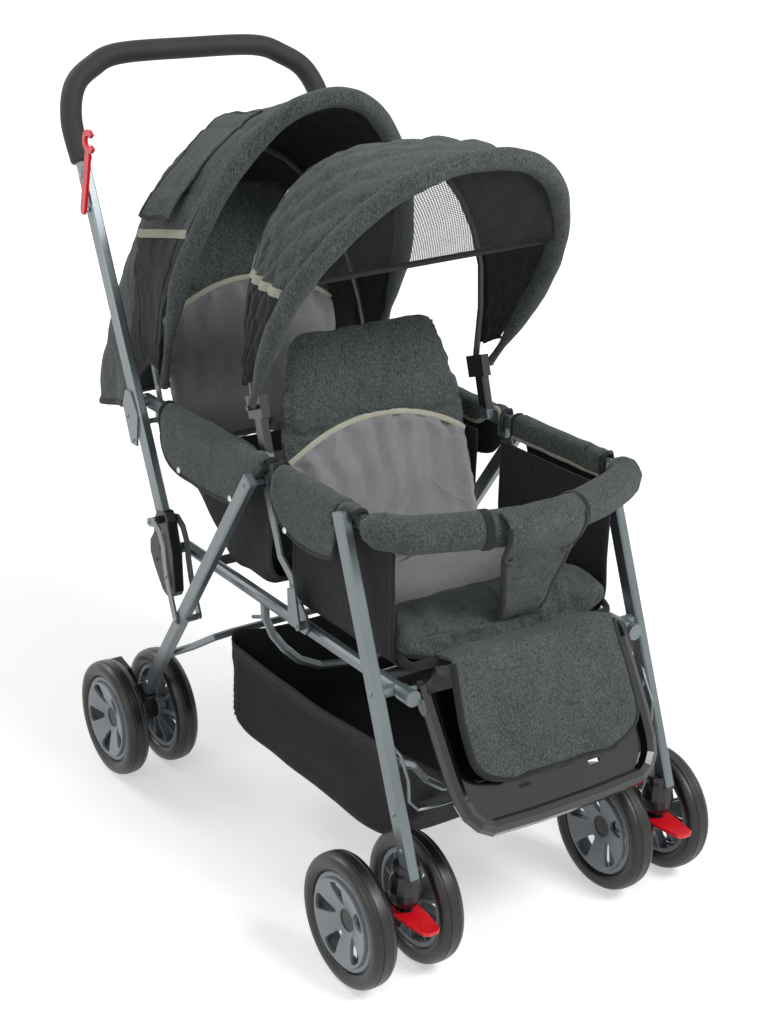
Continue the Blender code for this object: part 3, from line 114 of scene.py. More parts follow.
def woven_yarn():
    tree, given, out = shader_group(
        "woven_yarn",
        (("Dark", "Color", (0, 0, 0, 1)), ("Light", "Color", (1, 1, 1, 1)),
         ("Threads", "Float", 5200.0), ("Fleck", "Float", 0.5)),
        (("Color", "Color"), ("Height", "Float")))
    fleck = node(tree, "TexNoise", {"Vector": stretched(tree, (1, 1, 0.45)), "Scale": 520.0,
                                    "Detail": 3.0, "Roughness": 0.7}).outputs[0]
    slub = node(tree, "TexNoise", {"Vector": stretched(tree, (1, 1, 0.3)), "Scale": 85.0,
                                   "Detail": 3.0}).outputs[0]
    cloud = node(tree, "TexNoise", {"Vector": stretched(tree, (1, 1, 1)), "Scale": 9.0,
                                    "Detail": 2.0}).outputs[0]
    fine = calc(tree, "MULTIPLY", calc(tree, "SUBTRACT", fleck, 0.5), given["Fleck"])
    slow = calc(tree, "ADD", calc(tree, "MULTIPLY", slub, 0.45), calc(tree, "MULTIPLY", cloud, 0.5))
    share = calc(tree, "ADD", calc(tree, "MULTIPLY", fine, 3.0), slow)
    share = node(tree, "Clamp", {0: share}).outputs[0]
    tree.links.new(blend_colours(tree, share, given["Dark"], given["Light"]), out["Color"])
    axes = node(tree, "SeparateXYZ", {0: stretched(tree, (1, 1, 1))}).outputs
    height = None
    for axis in axes:
        wave = calc(tree, "ABSOLUTE", calc(tree, "SINE", calc(tree, "MULTIPLY", axis, given["Threads"])))
        height = wave if height is None else calc(tree, "ADD", height, wave)
    tree.links.new(height, out["Height"])
    return tree


def worn_surface():
    tree, given, out = shader_group(
        "worn_surface", (("Scale", "Float", 60.0), ("Wear", "Float", 0.4)),
        (("Scuffs", "Float"), ("Patches", "Float")))
    fine = node(tree, "TexNoise", {"Vector": stretched(tree, (1, 1, 0.2)), "Scale": given["Scale"],
                                   "Detail": 6.0, "Roughness": 0.75}).outputs[0]
    scuffs = calc(tree, "SUBTRACT", fine, calc(tree, "SUBTRACT", 0.95, given["Wear"]))
    scuffs = node(tree, "Clamp", {0: calc(tree, "MULTIPLY", scuffs, 6.0)}).outputs[0]
    patches = node(tree, "TexNoise", {"Vector": stretched(tree, (1, 1, 1)), "Scale": 11.0,
                                      "Detail": 3.0}).outputs[0]
    tree.links.new(scuffs, out["Scuffs"])
    tree.links.new(patches, out["Patches"])
    return tree


def moulded_grain():
    tree, given, out = shader_group(
        "moulded_grain", (("Scale", "Float", 900.0), ("Depth", "Float", 0.3)),
        (("Height", "Float"), ("Patches", "Float")))
    grain = node(tree, "TexNoise", {"Vector": stretched(tree, (1, 1, 1)), "Scale": given["Scale"],
                                    "Detail": 2.0}).outputs[0]
    patches = node(tree, "TexNoise", {"Vector": stretched(tree, (1, 1, 1)), "Scale": 16.0,
                                      "Detail": 4.0}).outputs[0]
    tree.links.new(calc(tree, "MULTIPLY", grain, given["Depth"]), out["Height"])
    tree.links.new(patches, out["Patches"])
    return tree


def cloth_creases():
    tree, given, out = shader_group(
        "cloth_creases", (("Scale", "Float", 14.0), ("Depth", "Float", 1.0)), (("Height", "Float"),))
    bent = node(tree, "TexNoise", {"Vector": stretched(tree, (1, 1, 1)), "Scale": given["Scale"],
                                   "Detail": 3.0, "Distortion": 1.2}).outputs[0]
    ridge = calc(tree, "ABSOLUTE", calc(tree, "SUBTRACT", bent, 0.5))
    ridge = calc(tree, "POWER", calc(tree, "SUBTRACT", 1.0, ridge), 6.0)
    tree.links.new(calc(tree, "MULTIPLY", ridge, given["Depth"]), out["Height"])
    return tree


YARN, WORN, GRAIN, CREASES = woven_yarn(), worn_surface(), moulded_grain(), cloth_creases()


def share_group(tree, group, **values):
    made = tree.nodes.new("ShaderNodeGroup")
    made.node_tree = group
    for key, value in values.items():
        made.inputs[key].default_value = value
    return made.outputs


def finish(name, **constants):
    """New material with constant values set on its shader."""
    made = bpy.data.materials.new(name)
    made.use_nodes = True
    tree = made.node_tree
    shader = tree.nodes["Principled BSDF"]
    for key, value in constants.items():
        shader.inputs[key.replace("_", " ")].default_value = value
    return made, tree, shader


def bump(tree, shader, height, distance, strength=1.0):
    made = node(tree, "Bump", {"Height": height, "Distance": distance, "Strength": strength})
    tree.links.new(made.outputs[0], shader.inputs["Normal"])


def cloth_finish(name, dark, light, threads=5200.0, fleck=0.5, roughness=0.9, crease=0.5, sheen=0.25,
                 crease_scale=14.0):
    made, tree, shader = finish(name, Roughness=roughness, Sheen_Weight=sheen, Sheen_Roughness=0.5)
    yarn = share_group(tree, YARN, Dark=(*dark, 1), Light=(*light, 1), Threads=threads, Fleck=fleck)
    folds = share_group(tree, CREASES, Scale=crease_scale, Depth=crease)
    tree.links.new(yarn["Color"], shader.inputs["Base Color"])
    height = calc(tree, "ADD", calc(tree, "MULTIPLY", yarn["Height"], 0.05), folds["Height"])
    bump(tree, shader, height, 0.003)
    return made


def net_finish(name, colour, pitch, strand, hole=(1.0, 0.86)):
    """Knitted net: strands between staggered holes, by the cloth's own measured map."""
    made, tree, shader = finish(name, Roughness=0.75)
    lengths = node(tree, "UVMap", uv_map="cloth").outputs[0]
    knit = node(tree, "TexBrick", {"Vector": lengths, "Scale": 1.0 / pitch, "Mortar Size": strand,
                                   "Mortar Smooth": 0.3, "Brick Width": hole[0], "Row Height": hole[1]})
    yarn = share_group(tree, YARN, Dark=(*[c * 0.6 for c in colour], 1), Light=(*colour, 1))
    tree.links.new(yarn["Color"], shader.inputs["Base Color"])
    tree.links.new(knit.outputs["Fac"], shader.inputs["Alpha"])
    bump(tree, shader, knit.outputs["Fac"], 0.0004)
    return made


def painted_steel(name, colour, black_above=None):
    made, tree, shader = finish(name, Metallic=0.55, Coat_Roughness=0.2, Coat_Weight=0.35)
    wear = share_group(tree, WORN, Scale=70.0, Wear=0.30)
    tone = calc(tree, "MULTIPLY", wear["Patches"], 1.0)
    mixed = blend_colours(tree, tone, (*[c * 0.78 for c in colour], 1), (*[c * 1.22 for c in colour], 1))
    bare = blend_colours(tree, wear["Scuffs"], mixed, (0.36, 0.37, 0.37, 1))
    if black_above:
        height = node(tree, "SeparateXYZ", {0: stretched(tree, (1, 1, 1))}).outputs[2]
        black = calc(tree, "GREATER_THAN", height, black_above)
        bare = blend_colours(tree, black, bare, (0.010, 0.010, 0.012, 1))
        metal = calc(tree, "SUBTRACT", 0.55, calc(tree, "MULTIPLY", black, 0.55))
        tree.links.new(metal, shader.inputs["Metallic"])
    tree.links.new(bare, shader.inputs["Base Color"])
    rough = calc(tree, "ADD", calc(tree, "MULTIPLY", wear["Patches"], 0.22), 0.24)
    tree.links.new(rough, shader.inputs["Roughness"])
    grain = share_group(tree, GRAIN, Scale=1400.0, Depth=0.4)
    bump(tree, shader, grain["Height"], 0.0002)
    return made


def plastic(name, colour, roughness, grain=0.3, coat=0.0, wear=0.26, scuffed=None, scale=1100.0):
    made, tree, shader = finish(name, Coat_Roughness=0.08)
    shader.inputs["Coat Weight"].default_value = coat
    worn = share_group(tree, WORN, Scale=55.0, Wear=wear)
    texture = share_group(tree, GRAIN, Scale=scale, Depth=grain)
    pale = scuffed or tuple(min(1.0, c * 1.5 + 0.03) for c in colour)
    shaded = blend_colours(tree, texture["Patches"], (*[c * 0.82 for c in colour], 1),
                           (*[c * 1.15 for c in colour], 1))
    tree.links.new(blend_colours(tree, worn["Scuffs"], shaded, (*pale, 1)), shader.inputs["Base Color"])
    rough = calc(tree, "ADD", calc(tree, "MULTIPLY", worn["Patches"], 0.2), roughness - 0.1)
    tree.links.new(rough, shader.inputs["Roughness"])
    bump(tree, shader, texture["Height"], 0.0004)
    return made


HEATHER = cloth_finish("heather_cloth", (0.012, 0.019, 0.018), (0.105, 0.130, 0.122), fleck=1.1, crease=0.55,
                       sheen=0.1)
# Reverse of the heather cloth for the front canopy's inner face, darkened well below the outer heather as
# painted shade for the canopy's inside
HEATHER_REVERSE_PAINTED_SHADE = cloth_finish("heather_reverse_painted_shade", (0.012, 0.015, 0.014), (0.060, 0.070, 0.064), fleck=1.0,
                              sheen=0.05)
BLACK_CLOTH = cloth_finish("black_cloth", (0.003, 0.003, 0.004), (0.010, 0.010, 0.012), crease=0.6,
                           sheen=0.04)
LINING = cloth_finish("black_lining", (0.003, 0.003, 0.004), (0.009, 0.009, 0.010), crease=0.8, sheen=0.03)
NYLON = cloth_finish("grey_nylon", (0.210, 0.210, 0.222), (0.400, 0.400, 0.415), threads=7800.0, fleck=0.35,
                     roughness=0.34, crease=0.7, sheen=0.1, crease_scale=11.0)
PIPING = cloth_finish("cream_piping", (0.36, 0.355, 0.28), (0.56, 0.55, 0.46), threads=4200.0, crease=0.15,
                      sheen=0.1)
BINDING = cloth_finish("black_binding", (0.003, 0.003, 0.0045), (0.012, 0.012, 0.015), threads=3800.0,
                       crease=0.15, sheen=0.08)
NET = net_finish("black_net", (0.018, 0.018, 0.023), 0.0034, 0.105)
BASKET_NET = net_finish("basket_net", (0.016, 0.014, 0.013), 0.0020, 0.125, hole=(0.56, 0.46))
FRAME_PAINT = painted_steel("frame_paint", (0.160, 0.190, 0.200))
ARMREST_PAINT = painted_steel("armrest_paint", (0.160, 0.190, 0.200), black_above=0.5885)
CHROME, chrome_tree, chrome_shader = finish("rivet_steel", Metallic=1.0)
chrome_worn = share_group(chrome_tree, WORN, Scale=90.0, Wear=0.4)
chrome_tree.links.new(blend_colours(chrome_tree, chrome_worn["Scuffs"], (0.62, 0.62, 0.61, 1),
                                    (0.4, 0.4, 0.39, 1)), chrome_shader.inputs["Base Color"])
chrome_tree.links.new(calc(chrome_tree, "ADD", calc(chrome_tree, "MULTIPLY", chrome_worn["Patches"], 0.25),
                           0.12), chrome_shader.inputs["Roughness"])
BLACK_PLASTIC = plastic("black_plastic", (0.007, 0.007, 0.009), 0.34)
GLOSS_PLASTIC = plastic("tray_plastic", (0.005, 0.0045, 0.0045), 0.16, grain=0.05, coat=0.5, wear=0.16)
BROWN_PLASTIC = plastic("lock_plastic", (0.045, 0.032, 0.027), 0.5)
RED_PLASTIC = plastic("red_plastic", (0.72, 0.008, 0.016), 0.32, grain=0.1, coat=0.3, wear=0.15)
WHEEL_PLASTIC = plastic("wheel_plastic", (0.245, 0.275, 0.300), 0.38, grain=0.15)
RUBBER = plastic("tyre_rubber", (0.009, 0.0085, 0.0075), 0.36, grain=0.4, scuffed=(0.035, 0.031, 0.026),
                 wear=0.34)
FOAM = plastic("grip_foam", (0.012, 0.0115, 0.013), 0.62, grain=1.0, scale=1900.0)


# Shapes: smooth lines, grids of points, swept sections and turned pieces
def smooth_line(points, count):
    """Curve through the points, taken again at equal steps."""
    spots = [Vector(p) for p in points]
    ends = [spots[0] * 2 - spots[1]] + spots + [spots[-1] * 2 - spots[-2]]
    fine = []
    for a, b, c, d in zip(ends, ends[1:], ends[2:], ends[3:]):
        for i in range(10):
            t = i / 10
            fine.append(0.5 * (2 * b + (c - a) * t + (2 * a - 5 * b + 4 * c - d) * t * t
                               + (3 * b - a - 3 * c + d) * t ** 3))
    fine.append(spots[-1])
    reach = [0.0]
    for a, b in zip(fine, fine[1:]):
        reach.append(reach[-1] + (b - a).length)
    line, j = [], 0
    for i in range(count):
        goal = reach[-1] * i / (count - 1)
        while j < len(reach) - 2 and reach[j + 1] < goal:
            j += 1
        part = (goal - reach[j]) / max(reach[j + 1] - reach[j], 1e-9)
        line.append(fine[j].lerp(fine[j + 1], min(max(part, 0.0), 1.0)))
    return line


def both_sides(points):
    """Path given from the left side to the centre, completed across the centre."""
    left = [Vector(p) for p in points]
    right = [Vector((-p.x, p.y, p.z)) for p in left]
    return right + left[-2::-1] if left[-1].x == 0 else right + left[::-1]


def surface(rows, along, across):
    wide = [smooth_line(row, across) for row in rows]
    columns = [smooth_line(column, along) for column in zip(*wide)]
    return [list(row) for row in zip(*columns)]


def facing(grid):
    """Unit normal at each point of a grid."""
    tall, wide = len(grid), len(grid[0])
    rows = []
    for i in range(tall):
        row = []
        for j in range(wide):
            down = grid[min(i + 1, tall - 1)][j] - grid[max(i - 1, 0)][j]
            over = grid[i][min(j + 1, wide - 1)] - grid[i][max(j - 1, 0)]
            normal = over.cross(down)
            row.append(normal.normalized() if normal.length > 1e-12 else Vector((0, 0, 1)))
        rows.append(row)
    return rows


def relief(grid, height):
    """Grid raised along its normals by height(across, down, point)."""
    ways = facing(grid)
    tall, wide = len(grid) - 1, len(grid[0]) - 1
    return [[p + ways[i][j] * height(j / wide, i / tall, p) for j, p in enumerate(row)]
            for i, row in enumerate(grid)]


def turned_over(grid):
    """Grid whose outer side is its other one."""
    return [row[::-1] for row in grid]


def make(name, points, faces, *finishes, closed=False, crisp=45):
    mesh = bpy.data.meshes.new(name)
    mesh.from_pydata([(p[0], p[1] + HUB_Y, p[2]) for p in points], [], faces)
    for paint in finishes:
        mesh.materials.append(paint)
    if closed:
        shape = bmesh.new()
        shape.from_mesh(mesh)
        bmesh.ops.remove_doubles(shape, verts=shape.verts, dist=0.00001)
        bmesh.ops.recalc_face_normals(shape, faces=shape.faces)
        shape.to_mesh(mesh)
        shape.free()
    mesh.shade_smooth()
    mesh.set_sharp_from_angle(angle=radians(crisp))
    piece = bpy.data.objects.new(name, mesh)
    scene.collection.objects.link(piece)
    return piece


def from_grid(name, grid, *finishes, ring=False, caps=False):
    """Piece over a grid of points, with its lengths in metres as the cloth's own map."""
    tall, wide = len(grid), len(grid[0])
    points = [p for row in grid for p in row]
    faces = []
    for i in range(tall - 1):
        for j in range(wide if ring else wide - 1):
            k = (j + 1) % wide
            faces.append((i * wide + j, i * wide + k, (i + 1) * wide + k, (i + 1) * wide + j))
    if caps:
        faces += [tuple(range(wide))[::-1], tuple(range((tall - 1) * wide, tall * wide))]
    piece = make(name, points, faces, *finishes, closed=caps)
    if not caps:
        across = [[0.0] for _ in grid]
        for i, row in enumerate(grid):
            for a, b in zip(row, row[1:]):
                across[i].append(across[i][-1] + (b - a).length)
        middle = [row[wide // 2] for row in grid]
        down = [0.0]
        for a, b in zip(middle, middle[1:]):
            down.append(down[-1] + (b - a).length)
        lengths = piece.data.uv_layers.new(name="cloth")
        for loop in piece.data.loops:
            i, j = divmod(loop.vertex_index, wide)
            centre = across[i][wide // 2]
            lengths.data[loop.index].uv = (across[i][j] - centre, down[i])
    return piece


def settle(piece):
    """Makes the piece's modifiers part of its mesh."""
    state = bpy.context.evaluated_depsgraph_get()
    mesh = bpy.data.meshes.new_from_object(piece.evaluated_get(state), preserve_all_data_layers=True,
                                           depsgraph=state)
    piece.modifiers.clear()
    piece.data = mesh
    return piece


def lined(piece, thickness, lining=False, offset=-1.0):
    """Gives a surface its thickness; the lining is the piece's next finish."""
    shell = piece.modifiers.new("Solidify", "SOLIDIFY")
    shell.thickness = thickness
    shell.offset = offset
    if lining:
        shell.material_offset = len(piece.data.materials) - 1
    settle(piece)
    piece.data.set_sharp_from_angle(angle=radians(50))
    return piece


def oval(half_side, half_up, count=16):
    return [(half_side * cos(2 * pi * k / count), half_up * sin(2 * pi * k / count)) for k in range(count)]


def swept(name, path, section, paint, ups=None, scale=None, closed=False):
    """Section of (side, up) points carried along a path."""
    path = [Vector(p) for p in path]
    count, wide = len(path), len(section)
    grid, up = [], None
    for i, spot in enumerate(path):
        ahead = path[(i + 1) % count] if closed or i + 1 < count else spot
        behind = path[i - 1] if closed or i else spot
        along = (ahead - behind).normalized()
        if ups:
            up = Vector(ups[i]) if isinstance(ups, list) else Vector(ups)
        elif up is None:
            up = Vector((0, 0, 1)) if abs(along.z) < 0.9 else Vector((0, 1, 0))
        up = (up - along * up.dot(along)).normalized()
        side = along.cross(up)
        k = scale[i] if scale else 1.0
        grid.append([spot + side * (a * k) + up * (b * k) for a, b in section])
    if closed:
        points = [p for row in grid for p in row]
        faces = [(i * wide + j, i * wide + (j + 1) % wide, (i + 1) % count * wide + (j + 1) % wide,
                  (i + 1) % count * wide + j) for i in range(count) for j in range(wide)]
        return make(name, points, faces, paint, closed=True)
    return from_grid(name, grid, paint, ring=True, caps=True)


def turned(name, profile, steps, centre, paint, turn=None, closed=False):
    """Piece turned about x, or about turn's z; the profile is (radius, distance along)."""
    grid = []
    for k in range(steps):
        angle = 2 * pi * k / steps
        row = []
        for r, h in profile:
            p = Vector((h, r * cos(angle), r * sin(angle)))
            row.append((turn @ p if turn else p) + Vector(centre))
        grid.append(row)
    tall, wide = len(grid), len(profile)
    faces = []
    for i in range(tall):
        for j in range(wide if closed else wide - 1):
            a, b = (j, (j + 1) % wide)
            k = (i + 1) % tall
            faces.append((i * wide + a, i * wide + b, k * wide + b, k * wide + a))
    return make(name, [p for row in grid for p in row], faces, paint, closed=True, crisp=38)


def joined(name, pieces):
    """One piece from several, keeping each one's finish."""
    finishes, mesh = [], bpy.data.meshes.new(name)
    shape = bmesh.new()
    for piece in pieces:
        start = len(shape.faces)
        shape.from_mesh(piece.data)
        shape.faces.ensure_lookup_table()
        first = len(finishes)
        finishes += list(piece.data.materials)
        for face in shape.faces[start:]:
            face.material_index += first
        bpy.data.objects.remove(piece, do_unlink=True)
    shape.to_mesh(mesh)
    shape.free()
    for paint in finishes:
        mesh.materials.append(paint)
    whole = bpy.data.objects.new(name, mesh)
    scene.collection.objects.link(whole)
    return whole


def rumple(piece, depth, scale, seed):
    """Small folds along the piece's own normals."""
    mesh = piece.data
    moves = []
    for vertex in mesh.vertices:
        spot = vertex.co * scale + Vector((seed * 7.3, seed * 1.7, seed * 3.1))
        moves.append(vertex.normal * (depth * noise.noise(spot)))
    for vertex, move in zip(mesh.vertices, moves):
        vertex.co += move
    mesh.update()
    return piece


def puff(piece, voxel, cap, pinned, pressure=4.0, frames=20):
    """Fills a cushion with air: its seams, where pinned(point) holds, stay in place."""
    mesher = piece.modifiers.new("Remesh", "REMESH")
    mesher.mode = "VOXEL"
    mesher.voxel_size = voxel
    settle(piece)
    start = [vertex.co.copy() for vertex in piece.data.vertices]
    held = piece.vertex_groups.new(name="seams")
    marked = [k for k, p in enumerate(start) if pinned(Vector((p.x, p.y - HUB_Y, p.z)))]
    held.add(marked, 1.0, "REPLACE")
    cloth = piece.modifiers.new("Cloth", "CLOTH")
    cloth.settings.quality = 4
    cloth.settings.mass = 0.2
    cloth.settings.use_pressure = True
    cloth.settings.uniform_pressure_force = pressure
    cloth.settings.effector_weights.gravity = 0
    cloth.settings.vertex_group_mass = "seams"
    cloth.settings.shrink_min = -0.06
    cloth.point_cache.frame_start = 1
    cloth.point_cache.frame_end = frames
    for step in range(1, frames + 1):
        scene.frame_set(step)
    settle(piece)
    scene.frame_set(1)
    piece.vertex_groups.clear()
    for vertex, home in zip(piece.data.vertices, start):
        move = vertex.co - home
        if move.length > cap:
            vertex.co = home + move * (cap / move.length)
    smooth = piece.modifiers.new("Subdivision", "SUBSURF")
    smooth.levels = smooth.render_levels = 1
    settle(piece)
    piece.data.shade_smooth()
    return piece


def dress(piece, body, slot, *nodes):
    """Rides the piece on its body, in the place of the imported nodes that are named."""
    if body:
        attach(piece, body)
    if nodes:
        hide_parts(*nodes)
    return piece


def arch(base, apex, half, base_half, exponent, count, start=0.0):
    """Canopy arch from side to side; base and apex are (y, z)."""
    spots = []
    for i in range(count + 1):
        angle = pi * (start + (1 - 2 * start) * i / count)
        up = sin(angle) ** (2 / exponent)
        width = base_half + (half - base_half) * min(1.0, 2 * up)
        x = -copysign(width * abs(cos(angle)) ** (2 / exponent), cos(angle))
        spots.append(Vector((x, base[0] + up * (apex[0] - base[0]), base[1] + up * (apex[1] - base[1]))))
    return spots


def polar(centre, angle, radius):
    """Point at an angle behind vertical, in degrees, from a (y, z) centre."""
    return (centre[0] + radius * sin(radians(angle)), centre[1] + radius * cos(radians(angle)))


# Wheels
def make_tyre(name, x, y):
    half = [(0.0651, 0.0104), (0.0668, 0.0134), (0.0700, 0.0156), (0.0740, 0.0166), (0.0790, 0.0164),
            (0.0832, 0.0147), (0.0858, 0.0112), (0.0869, 0.0074), (0.0863, 0.0066), (0.0863, 0.0058),
            (0.0873, 0.0050), (0.0875, 0.0)]
    profile = half + [(r, -h) for r, h in half[-2::-1]]
    return turned(name, profile, 88, (x, y, WHEEL_RADIUS), RUBBER, closed=True)


def window_half_angle(r):
    """Half the angle, in degrees, that a window takes at a radius."""
    table = ((0.0235, 3.0), (0.0255, 8.0), (0.030, 11.0), (0.036, 12.6), (0.043, 13.8), (0.049, 14.6),
             (0.0525, 13.2), (0.0545, 8.5))
    return next((a for radius, a in table if abs(radius - r) < 0.0003), None)


def make_wheel_centre(name, x, y, outward, phase):
    """Dished disc with five windows, rim barrel, hub barrel and inner ribs."""
    radii = (0.0168, 0.0200, 0.0235, 0.0255, 0.030, 0.036, 0.043, 0.049, 0.0525, 0.0545, 0.0578)
    centre = Vector((x, y, WHEEL_RADIUS))
    spoke_steps, window_steps = 6, 6
    points, faces = [], []
    columns = 5 * (spoke_steps + window_steps)
    for r in radii:
        dish = -0.0006 + (r - 0.0172) / 0.0403 * 0.0121 + 0.0018 * sin(pi * (r - 0.0168) / 0.041)
        half = window_half_angle(r) or (3.0 if r < 0.03 else 8.5)
        for sector in range(5):
            for k in range(spoke_steps + window_steps):
                if k < window_steps:
                    turn = -half + 2 * half * k / window_steps
                else:
                    turn = half + (72 - 2 * half) * (k - window_steps) / spoke_steps
                angle = radians(phase + 72 * sector + turn)
                points.append(centre + Vector((outward * dish, -r * cos(angle), r * sin(angle))))
    for i in range(len(radii) - 1):
        for j in range(columns):
            inside = window_half_angle(radii[i]) and window_half_angle(radii[i + 1])
            if inside and j % (spoke_steps + window_steps) < window_steps:
                continue
            k = (j + 1) % columns
            a, b, c, d = i * columns + j, i * columns + k, (i + 1) * columns + k, (i + 1) * columns + j
            faces.append((a, d, c, b) if outward > 0 else (a, b, c, d))
    disc = make("disc", points, faces, WHEEL_PLASTIC)
    shell = disc.modifiers.new("Solidify", "SOLIDIFY")
    shell.thickness = 0.0052
    shell.offset = -1.0
    edge = disc.modifiers.new("Bevel", "BEVEL")
    edge.width = 0.0006
    edge.segments = 2
    edge.limit_method = "ANGLE"
    edge.angle_limit = radians(50)
    settle(disc)
    disc.data.shade_smooth()
    disc.data.set_sharp_from_angle(angle=radians(40))
    barrel = [(0.0574, 0.0112), (0.0600, 0.0121), (0.0632, 0.0118), (0.0648, 0.0102), (0.0648, -0.0098),
              (0.0626, -0.0104), (0.0584, -0.0098), (0.0576, 0.0060)]
    hub = [(0.0200, -0.0040), (0.0168, -0.0160), (0.0150, -0.0164), (0.0052, -0.0164), (0.0052, -0.0032),
           (0.0, -0.0032), (0.0, 0.0), (0.0175, -0.0012)]
    pieces = [disc, turned("rim", [(r, outward * h) for r, h in barrel], 72, centre, WHEEL_PLASTIC,
                           closed=True),
              turned("hub", [(r, outward * h) for r, h in hub], 40, centre, WHEEL_PLASTIC)]
    for k in range(10):
        angle = radians(phase + 36 * k + 18)
        along = Vector((0, -cos(angle), sin(angle)))
        across = Vector((0, sin(angle), cos(angle))) * 0.0010
        rib = []
        for r, back, front in ((0.0168, -0.0145, -0.0050), (0.0580, -0.0085, 0.0060)):
            for side in (-1, 1):
                for h in (back, front):
                    rib.append(centre + along * r + across * side + Vector((outward * h, 0, 0)))
        order = ((0, 1, 5, 4), (2, 6, 7, 3), (0, 4, 6, 2), (1, 3, 7, 5), (0, 2, 3, 1), (4, 5, 7, 6))
        pieces.append(make("rib", rib, order, WHEEL_PLASTIC, closed=True, crisp=30))
    cap = [(0.0, 0.0036), (0.0080, 0.0034), (0.0130, 0.0026), (0.0150, 0.0034), (0.0164, 0.0030),
           (0.0170, 0.0010), (0.0170, -0.0022)]
    pieces.append(turned("cap", [(r, outward * h) for r, h in cap], 40, centre, BLACK_PLASTIC))
    return joined(name, pieces)


def make_wheels():
    phase = 29.0
    for end, hub_y, twin in (("front", 0.0, FRONT_TWIN), ("rear", REAR_HUB_Y, REAR_TWIN)):
        for place, distance, outward in (("outer", twin[1], 1), ("inner", twin[0], -1)):
            for label, side in SIDES:
                tag = "_".join((end, place, label))
                x = side * distance
                dress(make_tyre("rubber_" + tag, x, hub_y), "wheel_set_" + tag, "tyre_rubber",
                      "tyre_" + tag)
                dress(make_wheel_centre("centre_" + tag, x, hub_y, side * outward, phase),
                      "wheel_set_" + tag, "wheel_grey", "wheel_" + tag)
                phase += 23.0


# Canopies
def rim_roll(name, line, taper, paint, seed):
    """Padded roll over a canopy bow, slimmer towards its hinges."""
    scale = [taper(p) for p in line]
    roll = swept(name, line, oval(RIM_PAD, RIM_PAD, 24), paint, scale=scale)
    return rumple(roll, 0.0016, 26.0, seed)


def tape(name, path, ways, half_width, thickness, paint, lift=0.0008):
    """Flat tape sewn along a surface; ways are the surface's normals."""
    path = [p + w * lift for p, w in zip(path, ways)]
    return swept(name, path, oval(half_width, thickness, 10), paint, ups=list(ways))


def crossing(grid, ways, low_enough, side):
    """Where each row of a canopy crosses a line on one side: points and normals."""
    path, normals = [], []
    for row, way in zip(grid, ways):
        order = range(len(row)) if side < 0 else range(len(row) - 1, -1, -1)
        last = None
        for j in order:
            gap = low_enough(row[j])
            if last is not None and gap > 0 >= last[1]:
                part = -last[1] / (gap - last[1])
                path.append(row[last[0]].lerp(row[j], part))
                normals.append(way[last[0]].lerp(way[j], part))
                break
            last = (j, gap)
    return path, normals


def groove(distance, width, depth):
    """Depth of a sewn channel at a distance from its seam."""
    return -depth * exp(-(distance / width) ** 2)


def paint_faces(piece, choose):
    """Gives each face the finish number that choose(centre) says."""
    for face in piece.data.polygons:
        spot = face.center
        face.material_index = choose(Vector((spot.x, spot.y - HUB_Y, spot.z)))


REAR_RIM_ANGLE, REAR_MID_ANGLE, FRONT_RIM_ANGLE = -20.6, 20.0, -34.0


def rear_band(p):
    """Height above the cream band on the rear canopy's sides."""
    return p.z - (0.800 + (0.695 - p.y) * 0.19)


def rear_canopy_rows():
    offset = polar((0, 0), REAR_RIM_ANGLE + 90, RIM_PAD + 0.0002)
    base = (REAR_CANOPY_PIVOT[0] + offset[0], REAR_CANOPY_PIVOT[1] + offset[1])
    rows = [arch(base, polar(base, REAR_RIM_ANGLE, 0.4636), 0.2100, 0.1860, 2.14, 40, 0.034)]
    for angle, radius, half, exponent in (
            (-5.0, 0.420, 0.2040, 2.24), (4.0, 0.401, 0.1995, 2.3), (20.0, 0.3605, 0.1935, 2.55),
            (40.0, 0.3205, 0.1895, 2.6), (55.0, 0.296, 0.1885, 2.8), (72.0, 0.285, 0.1880, 3.0),
            (90.0, 0.298, 0.1885, 3.2), (105.0, 0.321, 0.1880, 3.4)):
        rows.append(arch(REAR_CANOPY_PIVOT, polar(REAR_CANOPY_PIVOT, angle, radius), half, 0.1860,
                         exponent, 40, 0.034))
    return rows


def rear_canopy_relief(across, down, p):
    sag = -0.007 * sin(pi * min(1.0, down / 0.38)) ** 2 * sin(pi * across) ** 2
    seams = sum(groove((across - k) * 1.05, 0.006, 0.0022) for k in (0.16, 0.28, 0.40, 0.60, 0.72, 0.84))
    seams *= min(1.0, max(0.0, (0.62 - down) / 0.1))
    seams += groove((down - 0.055) * 0.62, 0.004, 0.0025) + groove((down - 0.365) * 0.62, 0.005, 0.002)
    folds = noise.noise(Vector((p.x * 11, p.y * 9, p.z * 12))) * 0.0055
    fine = abs(noise.noise(Vector((p.x * 30 + 5, p.y * 22, p.z * 24)))) * -0.0045
    hang = max(0.0, (down - 0.62) / 0.38)
    ripple = 0.007 * hang * sin(across * 2 * pi * 4.5 + 1.0)
    return sag + seams + folds + fine + ripple - 0.0015


